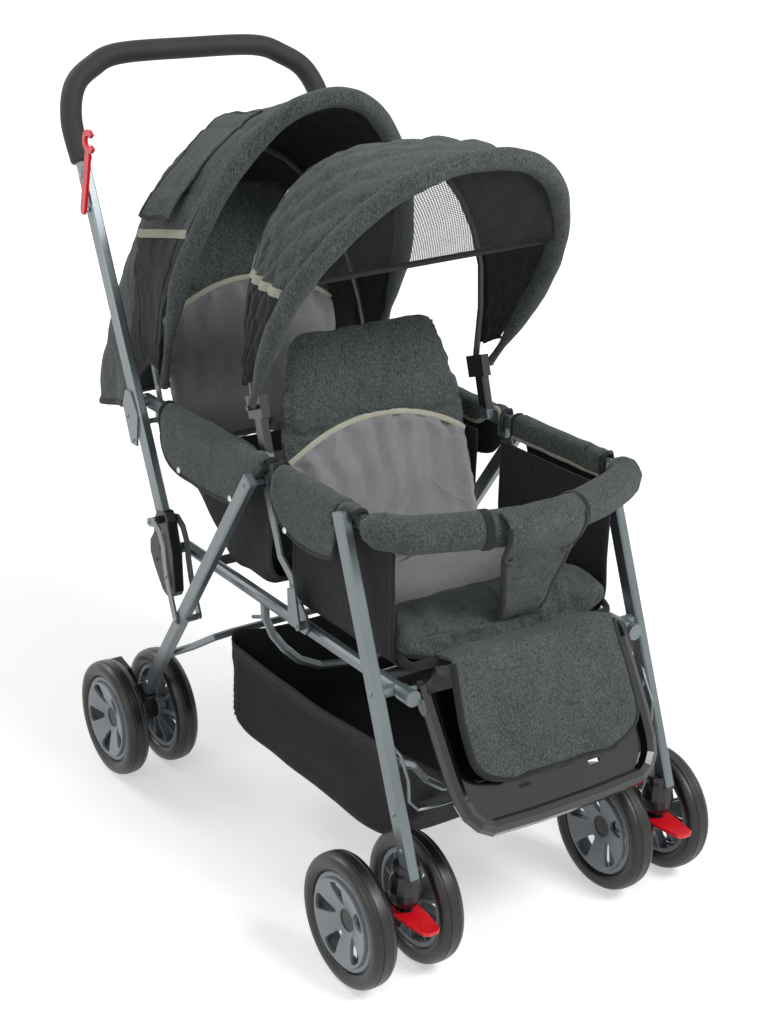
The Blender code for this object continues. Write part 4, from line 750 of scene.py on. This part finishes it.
def make_rear_canopy():
    line = smooth_line(arch(REAR_CANOPY_PIVOT, polar(REAR_CANOPY_PIVOT, REAR_RIM_ANGLE, 0.4636),
                            0.2005, 0.1762, 2.14, 60, 0.0155), 150)
    roll = rim_roll("rear_canopy_roll", line,
                    lambda p: 0.44 + 0.56 * min(1.0, max(0.0, (p.z - 0.675) / 0.075)), HEATHER, 1)
    dress(roll, "rear_canopy_front", "green_cloth", "rear_canopy_rim")
    grid = relief(surface(rear_canopy_rows(), 110, 131), rear_canopy_relief)
    ways = facing(grid)
    cover = from_grid("rear_canopy_cover", grid, HEATHER, BLACK_CLOTH, LINING)
    paint_faces(cover, lambda p: 1 if rear_band(p) < 0 and p.y < 0.700 else 0)
    lined(cover, 0.0022, lining=True)
    dress(cover, None, "green_cloth", "rear_canopy_cloth")
    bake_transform(cover)
    trims = []
    for _, side in SIDES:
        rows = [(r, w) for r, w in zip(grid, ways) if r[65].y < 0.80]
        path, normals = crossing([r for r, _ in rows], [w for _, w in rows], rear_band, side)
        kept = [(p, n) for p, n in zip(path, normals) if p.y < 0.712]
        trims.append(tape("band", [p for p, _ in kept], [n for _, n in kept], 0.0060, 0.0011, PIPING))
        edge = 0 if side < 0 else -1
        trims.append(tape("edge", [r[edge] for r in grid], [w[edge] for w in ways], 0.0045, 0.0022, BINDING,
                          lift=-0.001))
    trims.append(tape("hem", grid[-1], ways[-1], 0.0055, 0.0026, BINDING, lift=-0.001))
    trims.append(tape("seam", grid[5], ways[5], 0.0010, 0.0008, BINDING, lift=-0.0006))
    trims = dress(joined("rear_canopy_trims", trims), None, "black_cloth")
    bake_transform(trims)
    make_vent_flap(grid, ways)


def make_vent_flap(grid, ways):
    """Flap of cloth over the vent near the rear canopy's top, lifted at its near corner."""
    rows = []
    first, last, left, right = 11, 27, 30, 58
    for i in range(first, last):
        row = []
        for j in range(left, right):
            lift = 0.0035 + 0.022 * exp(-((j - left) / 8.0) ** 2) * (0.5 + 0.5 * (i - first) / (last - first))
            lift += 0.004 * exp(-((i - last) / 5.0) ** 2)
            row.append(grid[i][j] + ways[i][j] * lift)
        rows.append(row)
    flap = from_grid("vent_flap", rows, HEATHER, LINING)
    lined(flap, 0.0020, lining=True)
    dress(flap, None, "green_cloth")
    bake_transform(flap)
    normals = facing(rows)
    border = rows[-1] + [r[-1] for r in rows[-2::-1]]
    way = normals[-1] + [r[-1] for r in normals[-2::-1]]
    border = [r[0] for r in rows[:-1]] + border
    way = [r[0] for r in normals[:-1]] + way
    trim = dress(tape("vent_flap_trim", border, way, 0.0035, 0.0018, BINDING, lift=-0.0008), None,
                 "black_cloth")
    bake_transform(trim)


def front_band(p):
    return p.z - 0.818


def front_canopy_relief(across, down, p):
    a = (across * 0.82 + down * 0.24) / 0.070
    b = (across * 0.82 - down * 0.24) / 0.070
    quilt = 0.0075 * (abs(sin(pi * a)) * abs(sin(pi * b))) ** 0.5 * sin(pi * min(1, max(0, down))) ** 0.5
    folds = noise.noise(Vector((p.x * 16, p.y * 14, p.z * 15))) * 0.0045
    fine = abs(noise.noise(Vector((p.x * 38 + 5, p.y * 34, p.z * 32)))) * -0.0035
    seams = groove((down - 0.80) * 0.24, 0.004, 0.0030) + groove((down - 0.04) * 0.24, 0.004, 0.0020)
    return quilt + folds + fine + seams - 0.003


def make_front_canopy():
    rise = 0.405
    line = smooth_line(arch(FRONT_CANOPY_PIVOT, polar(FRONT_CANOPY_PIVOT, FRONT_RIM_ANGLE, rise),
                            0.2195, 0.1905, 2.37, 60, 0.003), 150)
    roll = rim_roll("front_canopy_roll", line,
                    lambda p: 0.42 + 0.58 * min(1.0, max(0.0, (p.z - 0.678) / 0.065)), HEATHER, 2)
    dress(roll, "front_canopy", "green_cloth", "front_canopy_rim")
    pivot_y, pivot_z = FRONT_CANOPY_PIVOT
    shift = polar((0, 0), FRONT_RIM_ANGLE + 90, RIM_PAD + 0.0002)
    base = (pivot_y + shift[0], pivot_z + shift[1])
    apex = polar(base, FRONT_RIM_ANGLE, rise)
    back_base, back_apex = (pivot_y + 0.014, pivot_z - 0.004), (pivot_y + 0.014, 0.9648)
    rows = []
    for i in range(5):
        t = i / 4
        low = [base[k] + (back_base[k] - base[k]) * t for k in (0, 1)]
        high = [apex[k] + (back_apex[k] - apex[k]) * t for k in (0, 1)]
        rows.append(arch(low, (high[0], high[1] + 0.010 * sin(pi * t)), 0.2290 - 0.0232 * t,
                         0.1960 - 0.006 * t, 2.37, 40, 0.022))
    grid = relief(surface(rows, 54, 151), front_canopy_relief)
    ways = facing(grid)
    # The inner face takes the darkened reverse heather, painted shade for the inside of the canopy
    cover = from_grid("front_canopy_cover", grid, HEATHER, BLACK_CLOTH, HEATHER_REVERSE_PAINTED_SHADE)
    paint_faces(cover, lambda p: 1 if front_band(p) < 0 else 0)
    lined(cover, 0.0022, lining=True)
    dress(cover, None, "green_cloth", "front_canopy_cloth")
    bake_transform(cover)
    trims = []
    for _, side in SIDES:
        path, normals = crossing(grid, ways, front_band, side)
        trims.append(tape("band", path, normals, 0.0060, 0.0011, PIPING))
        edge = 0 if side < 0 else -1
        trims.append(tape("edge", [r[edge] for r in grid], [w[edge] for w in ways], 0.0040, 0.0020, BINDING,
                          lift=-0.001))
    trims.append(tape("back", grid[-1], ways[-1], 0.0045, 0.0022, BINDING, lift=-0.001))
    trims.append(tape("seam", grid[2], ways[2], 0.0010, 0.0008, BINDING, lift=-0.0006))
    trims = dress(joined("front_canopy_trims", trims), None, "black_cloth")
    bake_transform(trims)
    make_visor(rise)


def make_visor(rise):
    """Net visor from the front rim down to a straight bound edge."""
    screen = smooth_line(arch(FRONT_CANOPY_PIVOT, polar(FRONT_CANOPY_PIVOT, FRONT_RIM_ANGLE, rise - 0.0125),
                              0.2080, 0.1765, 2.37, 60), 160)
    hem = polar(FRONT_CANOPY_PIVOT, FRONT_RIM_ANGLE, 0.238)
    top = [p for p in screen if p.z > hem[1] + 0.002]
    top = smooth_line(top, 121)
    rows = []
    for k in range(26):
        t = k / 25
        rows.append([Vector((p.x, p.y + (hem[0] - p.y) * t - 0.012 * sin(pi * t),
                             p.z + (hem[1] + 0.006 * (p.x / 0.2) - p.z) * t)) for p in top])
    visor = from_grid("visor_net", relief(rows, lambda a, d, p: 0.0015 * noise.noise(p * 30)), NET)
    lined(visor, 0.0008, offset=0.0)
    dress(visor, "front_canopy", "black_mesh", "front_canopy_visor")
    trim = swept("visor_binding", rows[-1], oval(0.0030, 0.0042, 12), BINDING, ups=(0, 0, 1))
    dress(trim, "front_canopy", "black_cloth")


# Seats
def shell_section(y, floor, top, half=0.1672):
    side = [(-half, top), (-half, top - 0.03), (-half + 0.001, (top + floor) / 2), (-half, floor + 0.026),
            (-half + 0.010, floor + 0.004), (-half + 0.030, floor), (-0.09, floor)]
    section = side + [(0, floor - 0.001)] + [(-x, z) for x, z in side[::-1]]
    return [(x, y, z) for x, z in section]


def fold_down(piece):
    """Gives a soft piece its own copy of its mesh."""
    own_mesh(piece)


def make_tub(name, stations, node_name, seed, keep):
    grid = surface([shell_section(*s) for s in stations], 46, 121)
    grid = relief(grid, lambda a, d, p: 0.0016 * noise.noise(p * 22 + Vector((seed, 0, 0)))
                  * sin(pi * a) - 0.0008)
    ways = facing(grid)
    tub = lined(from_grid(name, grid, BLACK_CLOTH), 0.0032, offset=0.0)
    dress(tub, "seat_base", "black_cloth", node_name)
    trims = [tape("front", grid[0], ways[0], 0.0050, 0.0026, BINDING, lift=0.0),
             tape("back", grid[-1], ways[-1], 0.0045, 0.0026, BINDING, lift=0.0)]
    trims = dress(joined(name + "_binding", trims), "seat_base", "black_cloth")
    if keep < 1:
        fold_down(tub)
        fold_down(trims)


def cushion_section(y, half, base, crown, lift=0.0):
    low, mid, high = base, (base + crown) / 2, crown
    right = [(-half * 0.86, low + lift * 0.5), (-half, mid + lift), (-half * 0.86, high - 0.003 + lift * 0.8),
             (-half * 0.45, high + 0.001)]
    ring = [(0, low)] + right + [(0, high + 0.002)] + [(-x, z) for x, z in right[::-1]]
    return [Vector((x, y, z)) for x, z in ring]


def cushion_grid(rings, along, around):
    closed = [smooth_line(ring + [ring[0]], around + 1)[:-1] for ring in rings]
    columns = [smooth_line(column, along) for column in zip(*closed)]
    return [list(row) for row in zip(*columns)]


def make_front_cushion():
    base = 0.3894
    rings = [cushion_section(0.020, 0.146, base + 0.012, 0.418, 0.014),
             cushion_section(0.026, 0.154, base + 0.004, 0.431, 0.014),
             cushion_section(0.060, 0.157, base, 0.438, 0.008),
             cushion_section(0.105, 0.157, base, 0.436, 0.002),
             cushion_section(0.150, 0.157, base, 0.436),
             cushion_section(0.240, 0.154, base, 0.430),
             cushion_section(0.2575, 0.146, base + 0.006, 0.420)]
    pad = from_grid("front_seat_pad", cushion_grid(rings, 60, 90), HEATHER, NYLON, ring=True, caps=True)
    puff(pad, 0.005, 0.009, lambda p: abs(p.z - 0.404) < 0.003 or (abs(p.y - 0.112) < 0.0035 and p.z > 0.42))
    for vertex in pad.data.vertices:
        spot = Vector((vertex.co.x, vertex.co.y - HUB_Y, vertex.co.z))
        front = exp(-((spot.y - 0.045) / 0.045) ** 2) * (1.0 if spot.z > 0.400 else 0.0)
        ridge = abs(noise.noise(Vector((spot.x * 24, spot.y * 9, spot.z * 9))))
        vertex.co += vertex.normal * (0.0035 - 0.017 * ridge) * front
    pad.data.update()
    rumple(pad, 0.0045, 20.0, 4)
    paint_faces(pad, lambda p: 1 if p.y > 0.112 and p.z > 0.415 and abs(p.x) < 0.135 else 0)
    dress(pad, "seat_base", "green_cloth", "front_cushion")
    edge = both_sides([(0.160, 0.050, 0.405), (0.158, 0.028, 0.402), (0.146, 0.0175, 0.400),
                       (0.110, 0.0145, 0.397), (0.060, 0.0140, 0.3945), (0, 0.0140, 0.394)])
    edge = smooth_line(edge, 120)
    edge = [p + Vector((0, 0.0015 * sin(k * 0.55), 0.0018 * sin(k * 0.38 + 1))) for k, p in enumerate(edge)]
    bound = swept("front_seat_edge", edge, oval(0.0042, 0.0052, 14), BINDING, ups=(0, 0, 1))
    dress(bound, "seat_base", "black_cloth")
    return pad


def make_rear_cushion():
    base = 0.3880
    rings = [cushion_section(0.358, 0.146, base + 0.012, 0.434),
             cushion_section(0.366, 0.155, base + 0.004, 0.446),
             cushion_section(0.402, 0.157, base, 0.454),
             cushion_section(0.448, 0.157, base + 0.008, 0.462),
             cushion_section(0.500, 0.157, base + 0.042, 0.480),
             cushion_section(0.545, 0.155, base + 0.078, 0.498),
             cushion_section(0.5535, 0.145, base + 0.092, 0.497)]
    pad = from_grid("rear_seat_pad", cushion_grid(rings, 60, 90), HEATHER, NYLON, ring=True, caps=True)
    puff(pad, 0.005, 0.008, lambda p: abs(p.y - 0.392) < 0.0035 and p.z > 0.43)
    rumple(pad, 0.0035, 22.0, 5)
    paint_faces(pad, lambda p: 1 if p.y > 0.392 and p.z > 0.430 and abs(p.x) < 0.135 else 0)
    dress(pad, "seat_base", "green_cloth", "rear_cushion")


def make_backrest(name, node_name, body, pivot, recline, thickness, outline, seam, gathers):
    """Backrest pad; seam(x) is the height up the board of the sewn arc between its two cloths."""
    up = Vector((0, sin(radians(recline)), cos(radians(recline))))
    back = Vector((0, cos(radians(recline)), -sin(radians(recline))))
    base = Vector((0, *pivot))
    rings = []
    for height, half, depth in outline:
        thick = thickness * depth
        section = [(0, -0.10), (0.5, -0.08), (0.80, 0.02), (0.98, 0.30), (1.0, 0.55), (0.90, 0.88),
                   (0.5, 1.0), (0, 1.0)]
        section = section + [(-a, b) for a, b in section[-2:0:-1]]
        middle = base + up * height
        rings.append([middle + Vector((a * half, 0, 0)) + back * (b * thick) for a, b in section])
    pad = from_grid(name, cushion_grid(rings, 84, 90), HEATHER, NYLON, ring=True, caps=True)

    def board(p):
        return (p - base).dot(up), (p - base).dot(back)

    def held(p):
        height, depth = board(p)
        return abs(height - seam(p.x)) < 0.0035 and depth < 0.006 or depth > thickness * 0.8

    puff(pad, 0.005, 0.007, held)
    rumple(pad, 0.0028, 20.0, len(name))
    for vertex in pad.data.vertices:
        spot = Vector((vertex.co.x, vertex.co.y - HUB_Y, vertex.co.z))
        height, depth = board(spot)
        below = seam(spot.x) - height
        if depth < thickness * 0.4 and below > 0:
            wave = sin(spot.x * 2 * pi / 0.040 + 2.6 * noise.noise(spot * 14))
            vertex.co += back * (-gathers * exp(-below / 0.10) * min(1.0, below / 0.012) * wave)
    pad.data.update()
    paint_faces(pad, lambda p: 1 if board(p)[0] < seam(p.x) and board(p)[1] < thickness * 0.55 else 0)
    dress(pad, body, "green_cloth", node_name)
    tree = BVHTree.FromPolygons([v.co for v in pad.data.vertices],
                                [tuple(f.vertices) for f in pad.data.polygons])
    path = []
    reach = max(half for _, half, _ in outline) * 0.985
    for k in range(61):
        x = reach * (k / 30 - 1)
        spot = base + up * seam(x) + Vector((x, HUB_Y, 0)) - back * 0.08
        hit = tree.ray_cast(spot, back)
        if hit[0]:
            path.append(Vector((hit[0].x, hit[0].y - HUB_Y, hit[0].z)))
    trim = swept(name + "_piping", [p - back * 0.0010 for p in path], oval(0.0042, 0.0016, 12), PIPING,
                 ups=list([-back] * len(path)))
    dress(trim, body, "green_cloth")
    if body == "rear_seat_back":
        for piece in (pad, trim):
            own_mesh(piece)


def make_backrests():
    make_backrest("front_back_pad", "front_backrest", "front_seat_back", FRONT_BACK_PIVOT, 17.0, 0.0215,
                  ((-0.002, 0.138, 0.55), (0.006, 0.147, 0.90), (0.060, 0.150, 1.0), (0.120, 0.150, 1.0),
                   (0.235, 0.143, 0.95), (0.312, 0.124, 0.85), (0.333, 0.112, 0.70), (0.339, 0.096, 0.45)),
                  lambda x: 0.214 - 0.046 * (x / 0.147) ** 2, 0.0085)
    make_backrest("rear_back_pad", "rear_backrest", "rear_seat_back", REAR_BACK_PIVOT, 17.2, 0.0235,
                  ((-0.002, 0.136, 0.60), (0.006, 0.147, 0.95), (0.060, 0.150, 1.0), (0.115, 0.150, 1.0),
                   (0.265, 0.139, 0.95), (0.345, 0.114, 0.80), (0.366, 0.100, 0.65), (0.372, 0.082, 0.45)),
                  lambda x: 0.232 - 0.050 * (x / 0.147) ** 2, 0.0070)


# Armrests and bumper
def make_armrest_pad(label, side):
    """Two quilted flaps over the armrest, bound at their edges, with cream piping along their inner side and
    chrome studs.
    """
    hems = ((0.080, 0.585), (0.100, 0.584), (0.110, 0.560), (0.1165, 0.522), (0.135, 0.512), (0.175, 0.506),
            (0.215, 0.509), (0.243, 0.521), (0.258, 0.545), (0.266, 0.578))
    rear_hems = ((0.292, 0.578), (0.300, 0.560), (0.318, 0.535), (0.345, 0.512), (0.400, 0.503),
                 (0.460, 0.501), (0.520, 0.503), (0.552, 0.516), (0.566, 0.548))
    flaps = []
    for place, table in (("front", hems), ("rear", rear_hems)):
        rows = []
        for y, hem in table:
            near_post = 0.298 < y < 0.336
            inner = [(0.1842, 0.5862)] if near_post else [(0.1812, 0.560), (0.1806, 0.574), (0.1832, 0.586)]
            top = [(0.1890, 0.5895), (0.1950, 0.5890)]
            drop = [(0.2015, 0.584)] if hem < 0.57 else [(0.1985, 0.5875)]
            for k in (0.12, 0.35, 0.6, 0.85, 1.0):
                drop.append((0.2045 + 0.0012 * sin(pi * k) if hem < 0.57 else 0.1990 + 0.001 * k,
                             0.5815 + (hem - 0.5815) * k))
            rows.append([(side * x, y, z) for x, z in inner + top + drop])
        grid = surface(rows, 60, 44)
        puffed = 0.0030 if place == "front" else 0.0026
        sign = side

        def quilt(a, d, p):
            edge = min(1.0, min(a, 1 - a, d, 1 - d) / 0.10)
            return sign * (puffed * edge ** 0.5 + 0.0016 * noise.noise(p * 30))
        grid = relief(grid, quilt)
        outside = grid if side > 0 else turned_over(grid)
        flap = lined(from_grid("flap", outside, HEATHER, BLACK_CLOTH), 0.0026, lining=True)
        ways = facing(grid)
        border = [r[-1] for r in grid]
        border_ways = [w[-1] for w in ways]
        trim = tape("hem", border, border_ways, 0.0040, 0.0024, BINDING, lift=0.0)
        ends = [tape("end", grid[k], ways[k], 0.0036, 0.0022, BINDING, lift=0.0) for k in (0, -1)]
        cream = tape("cream", [r[0] for r in grid], [w[0] for w in ways], 0.0036, 0.0018, PIPING, lift=0.0)
        flaps += [flap, trim, cream] + ends
    for y, z in ((0.2275, 0.5165), (0.5097, 0.510), (0.367, 0.514)):
        flaps.append(turned("stud", [(0.0, side * 0.0028), (0.0028, side * 0.0024), (0.0046, side * 0.0008),
                                     (0.0048, side * -0.001)], 16, (side * 0.2075, y, z), CHROME))
    pads = joined("armrest_pads_" + label, flaps)
    dress(pads, "armrests", "green_cloth", "armrest_pad_" + label)
    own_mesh(pads)
    return pads


def bumper_line():
    line = [(0.190, 0.060, ARM_Z), (0.1895, 0.051, ARM_Z), (0.182, 0.036, 0.5745), (0.163, 0.020, BUMPER_Z),
            (0.130, 0.005, BUMPER_Z), (0.090, -0.010, BUMPER_Z), (0.045, -0.022, BUMPER_Z),
            (0, -0.030, BUMPER_Z)]
    return smooth_line(both_sides(line), 170)


def make_bumper():
    line = bumper_line()
    scale = []
    for k, p in enumerate(line):
        end = min(k, len(line) - 1 - k)
        scale.append(min(1.0, 0.62 + 0.38 * (end / 7) ** 0.5))
    pad = swept("bumper_pad", line, oval(BUMPER_RADIUS, BUMPER_RADIUS, 36), HEATHER, scale=scale)
    for vertex in pad.data.vertices:
        spot = Vector((vertex.co.x, vertex.co.y - HUB_Y, vertex.co.z))
        near = exp(-((abs(spot.x) - 0.186) / 0.022) ** 2)
        pull = -0.0018 * near * (1 + sin(spot.z * 900))
        pull += 0.0014 * noise.noise(Vector((spot.x * 14, spot.y * 14, spot.z * 40)))
        vertex.co += vertex.normal * pull
    pad.data.update()
    dress(pad, "bumper", "green_cloth", "bumper_bar")
    bands = []
    for x in (-0.078, 0.050):
        middle = min(range(len(line)), key=lambda k: abs(line[k].x - x))
        stretch = line[middle - 2:middle + 3]
        bands.append(swept("band", smooth_line(stretch, 9), oval(BUMPER_RADIUS + 0.0016,
                                                                 BUMPER_RADIUS + 0.0016, 36), BINDING,
                           scale=[0.97, 1, 1, 1, 1, 1, 1, 1, 0.97]))
    seam = [p + Vector((0, 0.010, -0.0205)) for p in line[8:-8]]
    bands.append(swept("seam", seam, oval(0.0012, 0.0012, 8), BINDING))
    for _, side in SIDES:
        bands.append(swept("stub", [(side * 0.190, 0.052, ARM_Z), (side * 0.190, 0.0725, ARM_Z)],
                           oval(0.0062, 0.0080, 18), CHROME))
    dress(joined("bumper_bands", bands), "bumper", "black_cloth")


def make_crotch_panel():
    rows = []
    for z, y, left, right in ((0.598, -0.030, -0.068, 0.042), (0.590, -0.048, -0.069, 0.043),
                              (0.572, -0.0545, -0.070, 0.044), (0.552, -0.046, -0.068, 0.043),
                              (0.535, -0.034, -0.062, 0.041), (0.505, -0.020, -0.050, 0.038),
                              (0.475, -0.006, -0.038, 0.036), (0.450, 0.006, -0.030, 0.036),
                              (0.432, 0.018, -0.027, 0.038)):
        rows.append([(left + (right - left) * k / 6, y, z) for k in range(7)])
    grid = relief(surface(rows, 60, 34), lambda a, d, p: 0.0022 * noise.noise(p * 26) - 0.0016
                  * min(1, min(a, 1 - a) / 0.2))
    panel = lined(from_grid("crotch_strap", turned_over(grid), HEATHER, BLACK_CLOTH), 0.0030, lining=True,
                  offset=0.0)
    dress(panel, "bumper", "green_cloth", "crotch_panel")
    ways = facing(grid)
    trims = [tape("edge", [r[k] for r in grid[8:]], [w[k] for w in ways[8:]], 0.0045, 0.0024, BINDING,
                  lift=0.0) for k in (0, -1)]
    for x in (-0.0560, 0.0290):
        row = min(grid, key=lambda r: abs(r[17].z - 0.5385))
        spot = min(row, key=lambda p: abs(p.x - x))
        ring = [spot + Vector((0.0062 * cos(2 * pi * k / 24), -0.0016, 0.0062 * sin(2 * pi * k / 24)))
                for k in range(24)]
        trims.append(swept("eyelet", ring, oval(0.0022, 0.0014, 10), BLACK_PLASTIC, ups=(0, -1, 0),
                           closed=True))
    trims = dress(joined("crotch_strap_trims", trims), "bumper", "black_cloth")


# Basket, apron and footrest
def make_apron():
    lean = radians(26)
    top_y, top_z = -0.0215, 0.4150
    rows = [[(0.120 * k / 8, 0.0180, 0.4060) for k in range(-8, 9)],
            [(0.122 * k / 8, -0.006, 0.4135) for k in range(-8, 9)]]
    for down, half in ((0, 0.1255), (0.03, 0.127), (0.075, 0.131), (0.115, 0.1305), (0.135, 0.124),
                       (0.148, 0.110), (0.1555, 0.088), (0.1575, 0.064)):
        rows.append([(half * k / 8, top_y - down * sin(lean) - 0.003 * (64 - k * k) / 64,
                      top_z - down * cos(lean)) for k in range(-8, 9)])

    def soft(a, d, p):
        edge = min(1.0, min(a, 1 - a, 1 - d) / 0.08)
        return 0.0030 * edge ** 0.5 + 0.0035 * noise.noise(p * 17) + 0.001 * noise.noise(p * 45)
    grid = relief(surface(rows, 66, 70), lambda a, d, p: -soft(a, d, p))
    apron = lined(from_grid("footrest_apron", turned_over(grid), HEATHER, BLACK_CLOTH), 0.0050, lining=True)
    dress(apron, None, "green_cloth", "front_apron")
    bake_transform(apron)
    ways = facing(grid)
    border = [r[0] for r in grid[12:]] + grid[-1][1:-1] + [r[-1] for r in grid[:11:-1]]
    way = [w[0] for w in ways[12:]] + ways[-1][1:-1] + [w[-1] for w in ways[:11:-1]]
    trim = tape("footrest_apron_binding", border, way, 0.0050, 0.0034, BINDING, lift=0.002)
    dress(trim, None, "black_cloth")
    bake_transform(trim)


def make_basket():
    table = ((-0.0125, 0.116, 0.246, 0.2375), (-0.003, 0.118, 0.246, 0.226), (0.030, 0.122, 0.243, 0.190),
             (0.072, 0.126, 0.240, 0.138), (0.118, 0.131, 0.238, 0.101), (0.240, 0.137, 0.232, 0.096),
             (0.360, 0.139, 0.232, 0.096), (0.470, 0.139, 0.234, 0.099), (0.486, 0.138, 0.236, 0.125),
             (0.4915, 0.137, 0.240, 0.210), (0.4938, 0.130, 0.2500, 0.240))
    rows = []
    for y, half, top, floor in table:
        side = [(-half, top), (-half, (2 * top + floor) / 3), (-half, (top + 2 * floor) / 3),
                (-half + 0.006, floor + 0.008), (-half * 0.6, floor)]
        section = side + [(0, floor - 0.003)] + [(-x, z) for x, z in side[::-1]]
        rows.append([(x, y, z) for x, z in section])
    grid = surface(rows, 90, 101)
    grid = relief(grid, lambda a, d, p: -0.0035 * noise.noise(p * 13) * sin(pi * min(1, d * 1.2)) - 0.001)
    ways = facing(grid)
    basket = from_grid("basket_bag", grid, BASKET_NET, BLACK_CLOTH)
    paint_faces(basket, lambda p: 1 if p.z < 0.112 or p.y > 0.474 or p.z > 0.216 or p.y < 0.02
                or abs(p.z - (0.150 + (p.y - 0.15) * 0.1)) < 0.0 else 0)
    lined(basket, 0.0012, offset=0.0)
    dress(basket, "seat_base", "black_mesh", "basket")
    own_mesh(basket)
    trims = []
    for column in (0, -1):
        trims.append(tape("top", [r[column] for r in grid], [w[column] for w in ways], 0.0060, 0.0018,
                          BINDING, lift=0.0))
    for k in (0, -1):
        trims.append(tape("end", grid[k], ways[k], 0.0050, 0.0018, BINDING, lift=0.0))
    trims = dress(joined("basket_binding", trims), "seat_base", "black_cloth")
    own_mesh(trims)


# Handle and small parts
def make_grip():
    side = [(0.206, 0.605 + 0.469 * (0.872 - 0.517), 0.872), (0.2075, 0.780, 0.892), (0.2085, 0.806, 0.946),
            (0.192, 0.826, 0.990), (0.158, 0.838, 1.014), (0.112, 0.845, 1.029), (0, 0.846, 1.031)]
    path = [p for p in smooth_line(both_sides(side), 260) if p.z > 0.889]
    scale = [0.90 if k in (0, len(path) - 1) else 1.0 for k in range(len(path))]
    grip = swept("handle_foam", path, oval(0.0155, 0.0155, 28), FOAM, scale=scale)
    dress(grip, "bar", "grip_foam", "handle_grip")


def make_camera():
    data = bpy.data.cameras.new("camera")
    data.sensor_width = 36.0
    data.lens = 36.0 * 1800 / 1024
    camera = bpy.data.objects.new("camera", data)
    scene.collection.objects.link(camera)
    right, up, back = (0.8283, -0.5601, 0.015), (0.1915, 0.3081, 0.9319), (-0.5265, -0.769, 0.3624)
    turn = Matrix((right, up, back)).transposed()
    camera.matrix_world = Matrix.Translation((-1.2911, -1.5748 + HUB_Y, 1.3598)) @ turn.to_4x4()
    scene.camera = camera


def background_rays(tree):
    """1 for the rays by which the camera, metal and glass see the background."""
    paths = node(tree, "LightPath").outputs
    mirrored = calc(tree, "MAXIMUM", paths["Is Glossy Ray"], paths["Is Transmission Ray"])
    return calc(tree, "MAXIMUM", paths["Is Camera Ray"], mirrored)


def make_studio():
    mesh = bpy.data.meshes.new("floor")
    reach = 40.0
    mesh.from_pydata([(-reach, -reach, 0), (reach, -reach, 0), (reach, reach, 0), (-reach, reach, 0)],
                     [], [(0, 1, 2, 3)])
    floor = bpy.data.objects.new("floor", mesh)
    scene.collection.objects.link(floor)
    paint, tree, shader = finish("floor", Roughness=0.85)
    shader.inputs["Base Color"].default_value = (0.80, 0.80, 0.80, 1)
    seen = background_rays(tree)
    reach = node(tree, "VectorMath", {0: stretched(tree, (1, 1, 1))}, operation="LENGTH").outputs["Value"]
    level = node(tree, "MapRange", {"Value": reach, "From Min": 0.9, "From Max": 4.0, "To Min": 0.50,
                                    "To Max": 0.85}).outputs[0]
    glow = node(tree, "Emission", {"Color": (1, 1, 1, 1), "Strength": calc(tree, "MULTIPLY", seen, level)})
    both = node(tree, "AddShader", {0: shader.outputs[0], 1: glow.outputs[0]})
    tree.links.new(both.outputs[0], tree.nodes["Material Output"].inputs["Surface"])
    mesh.materials.append(paint)
    world = bpy.data.worlds.new("studio")
    world.use_nodes = True
    tree = world.node_tree
    seen = background_rays(tree)
    strength = calc(tree, "ADD", calc(tree, "MULTIPLY", seen, 0.70), 0.30)
    background = tree.nodes["Background"]
    background.inputs["Color"].default_value = (1, 1, 1, 1)
    tree.links.new(strength, background.inputs["Strength"])
    scene.world = world
    for name, place, size, power in (("key", (0.9, -3.0, 3.4), 1.3, 120.0),
                                     ("fill", (-3.4, -1.2, 2.2), 1.8, 26.0),
                                     ("back", (-1.2, 3.2, 3.0), 1.6, 45.0)):
        lamp = bpy.data.lights.new(name, "AREA")
        lamp.size = size
        lamp.energy = power
        light = bpy.data.objects.new(name, lamp)
        light.location = place
        light.rotation_euler = (Vector((0, 0, 0.5)) - light.location).to_track_quat("-Z", "Y").to_euler()
        scene.collection.objects.link(light)
    scene.view_settings.view_transform = "Standard"


def finish_frame():
    """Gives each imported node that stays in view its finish."""
    kept = {
        FRAME_PAINT: ("seat_frame", "push_bar", "front_frame", "mid_link_R", "mid_link_L", "rear_link_R",
                      "rear_link_L", "rear_frame", "rear_canopy_mid_bow"),
        ARMREST_PAINT: ("armrest_frame",),
        BLACK_PLASTIC: ("bar_foot_R", "bar_foot_L", "caster_socket_R", "caster_socket_L", "caster_fork_R",
                        "caster_fork_L", "axle_housing_R", "axle_housing_L", "brake_lever_R",
                        "brake_lever_L"),
        GLOSS_PLASTIC: ("footrest",),
        BROWN_PLASTIC: ("lock_plate_R", "lock_plate_L"),
        RED_PLASTIC: ("fold_hook", "swivel_lock_R", "swivel_lock_L"),
    }
    for paint, names in kept.items():
        for name in names:
            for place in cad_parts[name].material_slots:
                place.link = "OBJECT"
                place.material = paint


make_camera()
make_studio()
finish_frame()
make_wheels()
make_rear_canopy()
make_front_canopy()
make_tub("front_seat_shell", ((0.046, 0.3885, 0.545), (0.075, 0.3875, WALL_TOP),
                                          (0.130, 0.3875, WALL_TOP), (0.200, 0.3875, WALL_TOP),
                                          (0.2685, 0.3875, WALL_TOP)), "front_tub", 1, 1.0)
make_tub("rear_seat_shell", ((0.332, 0.400, WALL_TOP), (0.352, 0.3875, WALL_TOP),
                                        (0.400, 0.3875, WALL_TOP), (0.448, 0.3875, WALL_TOP),
                                        (0.505, 0.431, WALL_TOP), (0.560, 0.470, WALL_TOP),
                                        (0.6077, 0.4995, WALL_TOP)), "rear_tub", 2, 0.32)
make_front_cushion()
make_rear_cushion()
make_backrests()
for label, side in SIDES:
    make_armrest_pad(label, side)
make_bumper()
make_crotch_panel()
make_apron()
make_basket()
make_grip()
